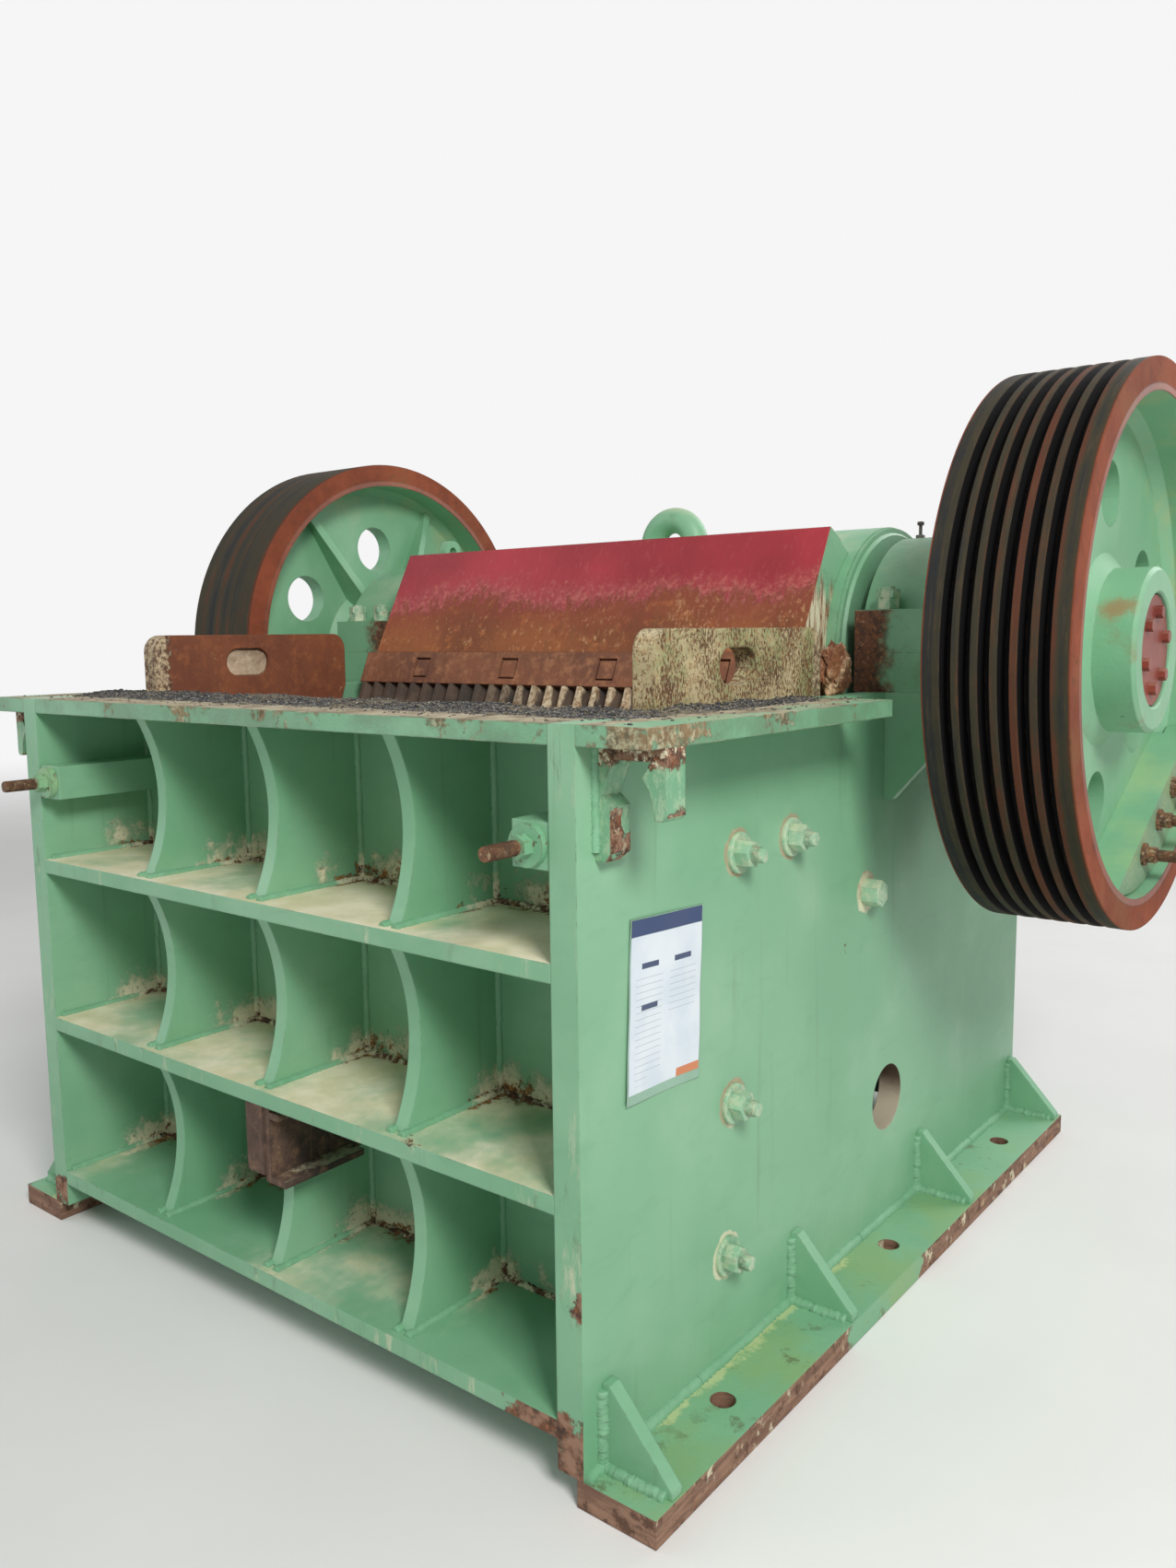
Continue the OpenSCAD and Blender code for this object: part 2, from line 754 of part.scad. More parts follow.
module guard_plate() {
    foot = [front_back + jaw_t + jaw_gap + jaw_top_u * sin(jaw_lean),
        jaw_low_z + jaw_top_u * cos(jaw_lean)];
    top = [foot[0] + guard_len * sin(guard_lean), foot[1] + guard_len * cos(guard_lean)];
    back = [guard_t * cos(guard_lean), -guard_t * sin(guard_lean)];
    heel = [guard_t * cos(jaw_lean), -guard_t * sin(jaw_lean)];
    knee = foot + [jaw_t * cos(jaw_lean), bracket_gap - jaw_t * sin(jaw_lean)];
    color(crimson) placed() difference() {
        union() {
            side_plate(-guard_w / 2, guard_w)
                polygon([foot, top, top + back, foot + back + [0, guard_heel], foot + heel]);
            for (i = [0:3])
                side_plate(-guard_w / 2 + i * (guard_w - bracket_t) / 3, bracket_t)
                    polygon([foot + heel * 0.5, top + back * 0.5, top + bracket_ear,
                        [shaft_y - head_r * 0.5, shaft_z + head_r * 0.5],
                        [shaft_y - head_r + bracket_sink, knee[1]], knee]);
        }
        x_bar(-guard_w, guard_w, head_r + seat_gap, shaft_y, shaft_z, 120);
    }
}

// Bearing sleeves inside the head and stepped cover rings on its ends
sleeve_w = 150;

module head_bearings() {
    color(steel) placed() both_sides() difference() {
        x_bar(head_w / 2 - sleeve_w, head_w / 2, head_bore_r, shaft_y, shaft_z);
        x_bar(head_w / 2 - sleeve_w - 1, head_w / 2 + 1, shaft_r + run_gap, shaft_y, shaft_z);
    }
}

module head_covers() {
    color(paint) placed() both_sides() translate([head_w / 2, shaft_y, shaft_z])
        rotate([0, 90, 0]) rotate_extrude($fn = 120)
            polygon([[shaft_r + 12, 0], [head_r - 3, 0], [head_r - 3, cover_t * 0.55],
                [head_r - 14, cover_t * 0.55], [head_r - 20, cover_t], [shaft_r + 12, cover_t]]);
}

// Lifting eyes welded to the top of the head
eye_x = 68;
eye_r = 70;
eye_bar = 35;
eye_sink = 12;
eye_cut = 8;
lug_eye_from_end = 57;
lug_eye_t = 26;
lug_eye_r = 34;
lug_eye_hole_r = 14;
lug_eye_foot = 70;
lug_eye_front = 150;

module lifting_eyes() {
    color(paint) placed() {
        difference() {
            translate([eye_x, shaft_y, shaft_z + head_r - eye_sink]) rotate([90, 0, 0])
                rotate_extrude($fn = 72) translate([eye_r, 0]) circle(r = eye_bar, $fn = 32);
            x_bar(-head_w / 2, head_w / 2, head_r, shaft_y, shaft_z, 120);
            block([eye_x - 2 * eye_r, shaft_y - 2 * eye_bar, shaft_z + head_r - 2 * eye_r],
                [eye_x + 2 * eye_r, shaft_y + 2 * eye_bar, shaft_z + head_r - eye_cut]);
        }
        difference() {
            translate([lug_eye_from_end + lug_eye_t / 2 - head_w / 2,
                shaft_y - lug_eye_front, shaft_z + head_r]) rotate([0, -90, 0])
                linear_extrude(height = lug_eye_t) difference() {
                    union() {
                        circle(r = lug_eye_r, $fn = 48);
                        translate([-lug_eye_foot, -lug_eye_r])
                            square([lug_eye_foot, 2 * lug_eye_r]);
                    }
                    circle(r = lug_eye_hole_r, $fn = 32);
                }
            x_bar(-head_w / 2, head_w / 2, head_r, shaft_y, shaft_z, 120);
        }
    }
}

// Return rods: pinned between lugs under the swing jaw, out through the rear wall
rod_r = 20;
rod_x = cell_step / 2;
rod_z = 215;
rod_hole_r = 52;
rod_eye_r = 32;
rod_pin = [740, rod_z];
pin_r = 15;
lug_t = 24;
spring_len = 170;
spring_r = 54;
spring_wire = 11;
spring_turns = 6;
spring_seat_y = rear_plate_y + rear_plate_t;
rod_slack = 30;
nut_plate_t = 12;
rod_nut_r = 36;
rod_nut_h = 32;
rod_tail = 75;
lug_gap = 4;
pin_out = 8;
lug_rim = 6;
lug_tail = [[-130, -30], [-110, 60]];

module lug_outline() {
    difference() {
        union() {
            translate(rod_pin) circle(r = rod_eye_r + lug_rim, $fn = 64);
            polygon([rod_pin + lug_tail[0], rod_pin - [0, rod_eye_r + lug_rim],
                rod_pin + [0, rod_eye_r + lug_rim], rod_pin + lug_tail[1]]);
        }
        translate(rod_pin) circle(r = pin_r, $fn = 48);
    }
}

module return_rod(x) {
    plate_y = spring_seat_y + spring_len + rod_slack;
    pin_half = rod_r + lug_gap + lug_t + pin_out;
    y_bar(rod_pin[0], plate_y + nut_plate_t + rod_tail, rod_r, x, rod_z);
    x_bar(x - rod_r - lug_gap / 2, x + rod_r + lug_gap / 2, rod_eye_r, rod_pin[0], rod_z);
    x_bar(x - pin_half, x + pin_half, pin_r, rod_pin[0], rod_z, 48);
    y_bar(plate_y, plate_y + nut_plate_t, spring_r, x, rod_z);
    translate([x, plate_y + nut_plate_t, rod_z])
        rotate([-90, 0, 0]) cylinder(r = rod_nut_r, h = rod_nut_h, $fn = 6);
}

module return_rods() {
    color(steel) placed() both_sides() return_rod(rod_x);
}

// Coil springs behind the rear wall, drawn as a stack of turns with end washers
module return_spring(x) {
    step = (spring_len - 2 * nut_plate_t) / spring_turns;
    for (y = [spring_seat_y, spring_seat_y + spring_len - nut_plate_t])
        difference() {
            y_bar(y, y + nut_plate_t, spring_r + spring_wire, x, rod_z);
            y_bar(y - 1, y + nut_plate_t + 1, spring_r - spring_wire, x, rod_z);
        }
    for (i = [0:spring_turns - 1])
        translate([x, spring_seat_y + nut_plate_t + (i + 0.5) * step, rod_z])
            rotate([-90, 0, 0]) rotate_extrude($fn = 48)
                translate([spring_r, 0]) circle(r = step / 2 + 0.7, $fn = 16);
}

module return_springs() {
    color(steel) placed() both_sides() return_spring(rod_x);
}

// Shaft: journals for the frame bearings, hub seats, and an eccentric middle
module eccentric_shaft() {
    body_end = head_w / 2 + cover_t;
    wheel_out = wheel_span / 2 + wheel_w;
    color(steel) placed() {
        both_sides() {
            x_bar(head_w / 2 - sleeve_w - 10, body_end, shaft_r, shaft_y, shaft_z);
            x_bar(body_end - eps, wheel_span / 2 - 2, journal_r, shaft_y, shaft_z);
            x_bar(wheel_span / 2 - 2 - eps, wheel_out - cap_seat_d, hub_seat_r, shaft_y, shaft_z);
        }
        x_bar(-head_w / 2 + sleeve_w + 9, head_w / 2 - sleeve_w - 9, shaft_r,
            shaft_y - throw * cos(weight_angle), shaft_z - throw * sin(weight_angle));
    }
}

// Wheels: x = 0 at the inner face, hub, web with six holes and six ribs, and rim
hub_boss_r = 214;
wheel_rib_t = 26;
wheel_rib_low = 14;
wheel_rib_turn = 33;
cap_seat_r = 124;
cap_seat_d = 26;

module wheel_section(outer) {
    web0 = (wheel_w - web_t) / 2;
    polygon(concat([[hub_seat_r, 2], [hub_r - 8, 2], [hub_r, 10], [hub_r, web0 - 26], [hub_boss_r, web0]],
        [[wheel_r - rim_t - 22, web0], [wheel_r - rim_t, web0 - 26], [wheel_r - rim_t, 0]],
        outer,
        [[wheel_r - rim_t, wheel_w], [wheel_r - rim_t, web0 + web_t + 26],
        [wheel_r - rim_t - 22, web0 + web_t], [hub_boss_r, web0 + web_t],
        [hub_r, web0 + web_t + 26], [hub_r, wheel_w - 8], [hub_r - 8, wheel_w],
        [cap_seat_r + 4, wheel_w], [cap_seat_r, wheel_w - 4], [cap_seat_r, wheel_w - cap_seat_d],
        [hub_seat_r, wheel_w - cap_seat_d]]));
}

// Rim outline of the pulley: lands with trapezoid belt grooves between them
function groove_points() = [for (i = [0:grooves - 1], p = [[0, -groove_mouth / 2],
    [groove_d, -groove_floor / 2], [groove_d, groove_floor / 2], [0, groove_mouth / 2]])
    [wheel_r - p[0], wheel_w / 2 + (i - (grooves - 1) / 2) * groove_pitch + p[1]]];

pulley_rim = concat([[wheel_r, 0]], groove_points(), [[wheel_r, wheel_w]]);
flat_rim = [[wheel_r - 3, 0], [wheel_r, 6], [wheel_r, wheel_w - 6], [wheel_r - 3, wheel_w]];

module wheel(rim, first_hole) {
    web0 = (wheel_w - web_t) / 2;
    rib_h = web0 * 0.84;
    difference() {
        union() {
            rotate([0, 90, 0]) rotate_extrude($fn = 180) wheel_section(rim);
            for (i = [0:5]) rotate([first_hole + wheel_rib_turn + 60 * i, 0, 0])
                translate([0, 0, -wheel_rib_t / 2]) linear_extrude(height = wheel_rib_t)
                    polygon([[web0 + 4, hub_r - 4], [web0 - rib_h, hub_r - 4],
                        [web0 - rib_h, hub_r + 12], [web0 - wheel_rib_low, wheel_r - rim_t + 4],
                        [web0 + 4, wheel_r - rim_t + 4]]);
        }
        for (i = [0:5]) rotate([first_hole + 60 * i, 0, 0])
            translate([web0 - 1, web_hole_at, 0]) rotate([0, 90, 0])
                cylinder(r = web_hole_r, h = web_t + 2, $fn = 48);
    }
}

pulley_hole_angle = 28;
flywheel_hole_angle = 30;

module drive_pulley() {
    color(steel) placed() translate([wheel_span / 2, shaft_y, shaft_z])
        wheel(pulley_rim, pulley_hole_angle);
}

module flywheel() {
    color(steel) placed() mirror([1, 0, 0]) translate([wheel_span / 2, shaft_y, shaft_z])
        wheel(flat_rim, flywheel_hole_angle);
}

// Round end caps let into the hubs, each held by six bolts
end_cap_t = 18;
end_cap_gap = 4;
end_cap_bolts = 6;
end_bolt_r = 14;
end_bolt_at = 84;
end_bolt_turn = 20;

module shaft_end_caps() {
    x0 = wheel_span / 2 + wheel_w - cap_seat_d;
    color(oxide) placed() both_sides() {
        x_bar(x0, x0 + end_cap_t, cap_seat_r - end_cap_gap, shaft_y, shaft_z);
        for (i = [0:end_cap_bolts - 1], turn = 360 / end_cap_bolts * i + end_bolt_turn)
            x_bar(x0 + end_cap_t - eps, x0 + end_cap_t + end_bolt_r, end_bolt_r,
                shaft_y + end_bolt_at * cos(turn), shaft_z + end_bolt_at * sin(turn), 6);
    }
}

// Counterweights: segments inside the outer recess of each wheel, clamped by three
// studs with washers and long nuts
weight_in = 405;
weight_angle = 297;
weight_t = 84;
weight_gap = 4;
weight_step = [22, 27];
weight_stud_pitch = 140;
weight_stud_in = 44;
weight_stud_r = 13;
weight_stud_out = 98;
weight_washer = [26, 8];
weight_nut = [20, 30];

module counterweight() {
    outer = wheel_r - rim_t - weight_gap;
    half = sqrt(outer * outer - weight_in * weight_in);
    translate([wheel_span / 2 + (wheel_w + web_t) / 2, shaft_y, shaft_z]) rotate([90, 0, 90]) {
        difference() {
            linear_extrude(height = weight_t) intersection() {
                circle(r = outer, $fn = 120);
                rotate(weight_angle) translate([weight_in, -half]) square([outer, 2 * half]);
            }
            translate([0, 0, -1]) linear_extrude(height = weight_step[1] + 1) difference() {
                circle(r = outer + weight_step[0], $fn = 120);
                circle(r = outer - weight_step[0], $fn = 120);
            }
        }
        for (t = [-1, 0, 1]) rotate(weight_angle)
            translate([weight_in + weight_stud_in, t * weight_stud_pitch, weight_t - eps]) {
                cylinder(r = weight_washer[0], h = weight_washer[1], $fn = 40);
                cylinder(r = weight_nut[0], h = weight_nut[1], $fn = 6);
                cylinder(r = weight_stud_r, h = weight_stud_out, $fn = 32);
            }
    }
}

module counterweight_right() {
    color(paint) placed() counterweight();
}

module counterweight_left() {
    color(paint) placed() mirror([1, 0, 0]) counterweight();
}

side_wall_left();
side_wall_right();
foot_plate_left();
foot_plate_right();
foot_gussets();
front_wall();
front_shelves();
front_ribs();
deck_front();
deck_sides();
lifting_hooks();
clamp_bars();
clamp_studs();
stub_bracket();
rear_wall();
rear_shelves();
rear_ribs();
toggle_seat();
toggle_plate();
bearing_seats();
bearing_blocks();
bearing_caps();
bearing_rings();
cap_bolts();
cheek_plate_left();
cheek_plate_right();
fixed_jaw_plate();
swing_jaw_body();
swing_jaw_plate();
jaw_wedge();
guard_plate();
head_bearings();
head_covers();
lifting_eyes();
return_rods();
return_springs();
eccentric_shaft();
drive_pulley();
flywheel();
shaft_end_caps();
counterweight_right();
counterweight_left();
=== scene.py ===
"""Looks for the wide-mouth jaw crusher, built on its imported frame.

Every plate, casting and wheel of the frame gets a worn procedural finish. New pieces are
added where the frame stays plain: weld beads, wall bolts, threads, coil springs, the grit
that lies on the deck, the blank sheet on the side wall, set dirt and small trim.
"""

from __future__ import annotations

import logging
import math
import random
from collections.abc import Callable, Iterable
from dataclasses import dataclass
from enum import Enum

import bmesh
import bpy
from mathutils import Matrix, Vector, noise

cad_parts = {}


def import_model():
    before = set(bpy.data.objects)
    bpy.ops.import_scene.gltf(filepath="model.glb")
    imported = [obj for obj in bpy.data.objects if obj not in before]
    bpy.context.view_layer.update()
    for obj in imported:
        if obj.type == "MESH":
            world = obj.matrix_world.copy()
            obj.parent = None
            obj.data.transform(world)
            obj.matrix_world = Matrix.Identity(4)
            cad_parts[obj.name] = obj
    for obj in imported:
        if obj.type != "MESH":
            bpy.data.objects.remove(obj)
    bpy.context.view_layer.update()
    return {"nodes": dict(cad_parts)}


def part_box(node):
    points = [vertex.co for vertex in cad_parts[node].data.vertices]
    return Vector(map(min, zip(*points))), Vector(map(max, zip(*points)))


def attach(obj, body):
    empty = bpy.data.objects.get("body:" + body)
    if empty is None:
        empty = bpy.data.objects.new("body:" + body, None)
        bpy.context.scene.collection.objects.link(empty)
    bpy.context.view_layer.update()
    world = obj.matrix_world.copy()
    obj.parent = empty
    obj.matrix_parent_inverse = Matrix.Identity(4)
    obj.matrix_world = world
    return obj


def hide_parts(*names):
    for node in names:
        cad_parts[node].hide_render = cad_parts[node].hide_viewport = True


Rgb = tuple[float, float, float]
Point = tuple[float, float, float]
Pair = tuple[float, float]
Triple = tuple[float, float, float]
Socket = bpy.types.NodeSocket
Value = float | Socket
Material = bpy.types.Material
Piece = bpy.types.Object

SIDES = (("right", 1.0), ("left", -1.0))
BACKWARD: Point = (0.0, 1.0, 0.0)
ONTO_WALL = Matrix(((0, 0, 1, 0), (1, 0, 0, 0), (0, 1, 0, 0), (0, 0, 0, 1)))

log = logging.getLogger("jaw_crusher")


def screen(red: int, green: int, blue: int) -> Rgb:
    """Turns an 8-bit screen colour into the linear colour that shaders use.

    Args:
        red: Red, 0 to 255.
        green: Green, 0 to 255.
        blue: Blue, 0 to 255.

    Returns:
        The linear colour.
    """
    return tuple(
        c / 12.92 if c <= 0.04045 else ((c + 0.055) / 1.055) ** 2.4
        for c in (red / 255, green / 255, blue / 255)
    )


class Graph:
    """One material's node tree, with short calls for the nodes that the finishes share."""

    def __init__(self, name: str) -> None:
        """Starts a material with its shader and its object coordinates.

        Args:
            name: The material's name.
        """
        self.material = bpy.data.materials.new(name)
        self.material.use_nodes = True
        self.tree = self.material.node_tree
        self.shader = self.tree.nodes["Principled BSDF"]
        coords = self.tree.nodes.new("ShaderNodeTexCoord")
        self.place = coords.outputs["Object"]
        parts = self.node("ShaderNodeSeparateXYZ", Vector=self.place)
        self.x, self.y, self.z = parts.outputs
        parts = self.node("ShaderNodeSeparateXYZ", Vector=coords.outputs["Normal"])
        self.nx, self.ny, self.nz = parts.outputs

    def put(self, socket: Socket, value: Value | Rgb) -> None:
        """Links a socket to another one, or sets its plain value.

        Args:
            socket: The input socket.
            value: A socket, a number or a colour.
        """
        if isinstance(value, bpy.types.NodeSocket):
            self.tree.links.new(value, socket)
        elif isinstance(value, tuple) and socket.type == "RGBA":
            socket.default_value = (*value[:3], 1.0)
        else:
            socket.default_value = value

    def node(self, kind: str, **values: Value | Rgb) -> bpy.types.Node:
        """Adds a node and fills its named inputs.

        Args:
            kind: The node's type name.
            values: Input names with underscores for spaces, and their values.

        Returns:
            The new node.
        """
        made = self.tree.nodes.new(kind)
        for name, value in values.items():
            self.put(made.inputs[name.replace("_", " ")], value)
        return made

    def math(self, operation: str, *values: Value) -> Socket:
        """Adds a math node.

        Args:
            operation: The node's operation.
            values: Its inputs, in order.

        Returns:
            The result.
        """
        made = self.tree.nodes.new("ShaderNodeMath")
        made.operation = operation
        for socket, value in zip(made.inputs, values):
            self.put(socket, value)
        return made.outputs[0]

    def plus(self, first: Value, second: Value) -> Socket:
        """Adds two values."""
        return self.math("ADD", first, second)

    def minus(self, first: Value, second: Value) -> Socket:
        """Takes the second value off the first."""
        return self.math("SUBTRACT", first, second)

    def scaled(self, value: Value, factor: Value, offset: Value) -> Socket:
        """Multiplies a value by a factor and adds an offset."""
        return self.math("MULTIPLY_ADD", value, factor, offset)

    def size(self, value: Value) -> Socket:
        """Takes a value without its sign."""
        return self.math("ABSOLUTE", value)

    def times(self, first: Value, *others: Value) -> Socket:
        """Multiplies any number of values.

        Args:
            first: The first value.
            others: The other values.

        Returns:
            Their product.
        """
        result = first
        for other in others:
            result = self.math("MULTIPLY", result, other)
        return result

    def highest(self, first: Value, *others: Value) -> Socket:
        """Takes the largest of any number of values.

        Args:
            first: The first value.
            others: The other values.

        Returns:
            The largest.
        """
        result = first
        for other in others:
            result = self.math("MAXIMUM", result, other)
        return result

    def step(self, value: Value, low: float, high: float) -> Socket:
        """Rises smoothly from 0 at low to 1 at high, or falls where high is below low.

        Args:
            value: The value to grade.
            low: Where the result is 0.
            high: Where the result is 1.

        Returns:
            The graded value.
        """
        made = self.tree.nodes.new("ShaderNodeMapRange")
        made.interpolation_type = "SMOOTHSTEP"
        self.put(made.inputs["Value"], value)
        turned = high < low
        made.inputs["From Min"].default_value = min(low, high)
        made.inputs["From Max"].default_value = max(low, high)
        made.inputs["To Min"].default_value = 1.0 if turned else 0.0
        made.inputs["To Max"].default_value = 0.0 if turned else 1.0
        return made.outputs["Result"]

    def near(self, value: Value, places: Iterable[float], reach: float) -> Socket:
        """Marks what lies close to any of a few places on one axis.

        Args:
            value: The coordinate.
            places: Where the mark is 1.
            reach: How far away it falls to 0.

        Returns:
            The mark.
        """
        marks = [self.step(self.size(self.minus(value, place)), reach, 0.0) for place in places]
        return self.highest(*marks)

    def above(self, value: Value, places: Iterable[float], reach: float) -> Socket:
        """Marks what lies just above any of a few levels.

        Args:
            value: The coordinate.
            places: The levels.
            reach: How far above them the mark falls to 0.

        Returns:
            The mark.
        """
        marks = []
        for place in places:
            up = self.minus(value, place)
            marks.append(self.times(self.step(up, reach, 0.0), self.step(up, -0.004, -0.001)))
        return self.highest(*marks)

    def stretched(self, along_x: float, along_y: float, along_z: float) -> Socket:
        """Object coordinates multiplied axis by axis.

        Args:
            along_x: Factor along X.
            along_y: Factor along Y.
            along_z: Factor along Z.

        Returns:
            The coordinates.
        """
        made = self.tree.nodes.new("ShaderNodeVectorMath")
        made.operation = "MULTIPLY"
        self.put(made.inputs[0], self.place)
        made.inputs[1].default_value = (along_x, along_y, along_z)
        return made.outputs[0]

    def away(self, y: float, z: float) -> Socket:
        """Distance from a place, as seen from the side."""
        dy, dz = self.minus(self.y, y), self.minus(self.z, z)
        return self.math("SQRT", self.plus(self.times(dy, dy), self.times(dz, dz)))

    def noise(
        self,
        scale: float,
        detail: float = 4.0,
        rough: float = 0.55,
        where: Socket | None = None,
        warp: float = 0.0,
    ) -> Socket:
        """Adds soft noise.

        Args:
            scale: Grains to a metre.
            detail: Octaves.
            rough: Weight of the finer octaves.
            where: Coordinates, or the object's own.
            warp: How much the pattern is distorted.

        Returns:
            A value from 0 to 1.
        """
        made = self.node(
            "ShaderNodeTexNoise",
            Vector=where or self.place,
            Scale=scale,
            Detail=detail,
            Roughness=rough,
            Distortion=warp,
        )
        return made.outputs[0]

    def grains(self, scale: float, where: Socket | None = None) -> Socket:
        """Distance to the nearest of many scattered points, for specks and flakes."""
        made = self.node("ShaderNodeTexVoronoi", Vector=where or self.place, Scale=scale)
        return made.outputs["Distance"]

    def mix(self, amount: Value, under: Value | Rgb, over: Value | Rgb) -> Socket:
        """Lays one colour over another.

        Args:
            amount: How much of the upper colour shows.
            under: The lower colour.
            over: The upper colour.

        Returns:
            The mixed colour.
        """
        made = self.tree.nodes.new("ShaderNodeMix")
        made.data_type = "RGBA"
        made.clamp_factor = True
        self.put(made.inputs[0], amount)
        self.put(made.inputs[6], under)
        self.put(made.inputs[7], over)
        return made.outputs[2]

    def rounded(self, radius: float) -> Socket:
        """Normals of edges that look rounded.

        Args:
            radius: The radius in metres.

        Returns:
            The normals.
        """
        made = self.node("ShaderNodeBevel", Radius=radius)
        made.samples = 4
        return made.outputs[0]

    def edges(self, soft: Socket) -> Socket:
        """Marks edges, where the rounded normal leaves the flat one.

        Args:
            soft: Rounded normals.

        Returns:
            0 on flats and up to about 0.3 on edges.
        """
        flat = self.tree.nodes.new("ShaderNodeNewGeometry").outputs["Normal"]
        made = self.tree.nodes.new("ShaderNodeVectorMath")
        made.operation = "DOT_PRODUCT"
        self.put(made.inputs[0], soft)
        self.put(made.inputs[1], flat)
        return self.minus(1.0, made.outputs["Value"])

    def bump(self, height: Socket, distance: float, normal: Socket | None = None) -> Socket:
        """Turns a height into relief.

        Args:
            height: The height, 0 to 1.
            distance: The relief's depth in metres.
            normal: Normals to start from.

        Returns:
            The new normals.
        """
        made = self.node("ShaderNodeBump", Height=height, Distance=distance)
        if normal is not None:
            self.put(made.inputs["Normal"], normal)
        return made.outputs[0]

    def finish(
        self, colour: Value | Rgb, rough: Value, normal: Socket | None = None, metal: Value = 0.0
    ) -> Material:
        """Joins the results to the shader.

        Args:
            colour: Base colour.
            rough: Roughness.
            normal: Relief, if any.
            metal: Metallic share.

        Returns:
            The material.
        """
        self.put(self.shader.inputs["Base Color"], colour)
        self.put(self.shader.inputs["Roughness"], rough)
        self.put(self.shader.inputs["Metallic"], metal)
        if normal is not None:
            self.put(self.shader.inputs["Normal"], normal)
        return self.material


class Pick(Enum):
    """What a selection on the bench is made of."""

    FACES = "FACE"
    EDGES = "EDGE"
    POINTS = "VERT"


class Bench:
    """One new piece on the bench, shaped in edit mode by picking its faces, edges or points."""

    def __init__(self, name: str) -> None:
        """Takes up the primitive that was added last and fixes its place in its mesh.

        Args:
            name: The piece's name.
        """
        self.piece = bpy.context.object
        self.piece.name = name
        self.piece.data.name = name
        bpy.ops.object.transform_apply(location=True, rotation=True, scale=True)

    @classmethod
    def disc(cls, name: str, radius: float, low: float, high: float, sides: int = 40) -> Bench:
        """Starts from a cylinder along Z.

        Args:
            name: The piece's name.
            radius: Its radius.
            low: Its lower end.
            high: Its upper end.
            sides: Its number of sides.

        Returns:
            The bench that holds it.
        """
        bpy.ops.mesh.primitive_cylinder_add(
            vertices=sides, radius=radius, depth=high - low, location=(0.0, 0.0, (low + high) / 2)
        )
        return cls(name)

    @classmethod
    def grid(cls, name: str, low: Pair, high: Pair, level: float, cell: float) -> Bench:
        """Starts from a level grid.

        Args:
            name: The piece's name.
            low: Its lowest x and y.
            high: Its highest x and y.
            level: Its height.
            cell: The size of its cells.

        Returns:
            The bench that holds it.
        """
        wide, deep = high[0] - low[0], high[1] - low[1]
        bpy.ops.mesh.primitive_grid_add(
            x_subdivisions=max(2, round(wide / cell)),
            y_subdivisions=max(2, round(deep / cell)),
            size=1.0,
            location=((low[0] + high[0]) / 2, (low[1] + high[1]) / 2, level),
        )
        bpy.context.object.scale = (wide, deep, 1.0)
        return cls(name)

    def take(self) -> None:
        """Selects the piece alone and makes it the active one."""
        bpy.ops.object.select_all(action="DESELECT")
        self.piece.select_set(True)
        bpy.context.view_layer.objects.active = self.piece

    def pick(self, kind: Pick, test: Callable[[Vector, Vector], bool]) -> Bench:
        """Opens edit mode with only the parts selected that pass a test.

        Args:
            kind: Faces, edges or points.
            test: Says yes or no to a place and a normal, or an edge's direction.

        Returns:
            The bench itself.
        """
        self.take()
        bpy.ops.object.mode_set(mode="EDIT")
        bpy.ops.mesh.select_mode(type=kind.value)
        bpy.ops.mesh.select_all(action="DESELECT")
        shape = bmesh.from_edit_mesh(self.piece.data)
        if kind is Pick.FACES:
            facts = [(f, f.calc_center_median(), f.normal) for f in shape.faces]
        elif kind is Pick.EDGES:
            facts = []
            for e in shape.edges:
                a, b = (v.co for v in e.verts)
                facts.append((e, (a + b) / 2, (b - a).normalized()))
        else:
            facts = [(v, v.co, v.normal) for v in shape.verts]
        for part, place, normal in facts:
            if test(place, normal):
                part.select_set(True)
        shape.select_flush_mode()
        bmesh.update_edit_mesh(self.piece.data)
        return self

    def caps(self, up: bool = True, down: bool = False) -> Bench:
        """Picks the end faces that look up or down."""
        return self.pick(Pick.FACES, lambda _, n: (up and n.z > 0.99) or (down and n.z < -0.99))

    def done(self) -> Bench:
        """Closes edit mode."""
        bpy.ops.object.mode_set(mode="OBJECT")
        return self

    def rim(self, level: float, width: float, segments: int = 2) -> Bench:
        """Bevels the edges that lie flat at one level.

        Args:
            level: Their height.
            width: The bevel's width.
            segments: Its number of faces.

        Returns:
            The bench itself.
        """
        self.pick(Pick.EDGES, lambda p, d: abs(p.z - level) < 1e-5 and abs(d.z) < 0.1)
        bpy.ops.mesh.bevel(offset=width, segments=segments, affect="EDGES")
        return self.done()

    def bore(self, radius: float, outer: float) -> Bench:
        """Opens a round hole from end to end.

        Args:
            radius: The hole's radius.
            outer: The radius that the ends have now.

        Returns:
            The bench itself.
        """
        self.caps(up=True, down=True)
        bpy.ops.mesh.inset(thickness=outer - radius)
        bpy.ops.mesh.bridge_edge_loops()
        return self.done()

    def outward(self) -> Bench:
        """Merges doubles and turns every face outwards.

        Returns:
            The bench itself.
        """
        self.pick(Pick.FACES, lambda _, __: True)
        bpy.ops.mesh.remove_doubles(threshold=1e-6)
        bpy.ops.mesh.normals_make_consistent(inside=False)
        return self.done()

    def modify(self, kind: str, **settings: object) -> Bench:
        """Adds a modifier and applies it.

        Args:
            kind: The modifier's type.
            settings: Its settings.

        Returns:
            The bench itself.
        """
        self.take()
        made = self.piece.modifiers.new(kind.lower(), kind)
        for name, value in settings.items():
            setattr(made, name, value)
        bpy.ops.object.modifier_apply(modifier=made.name)
        return self

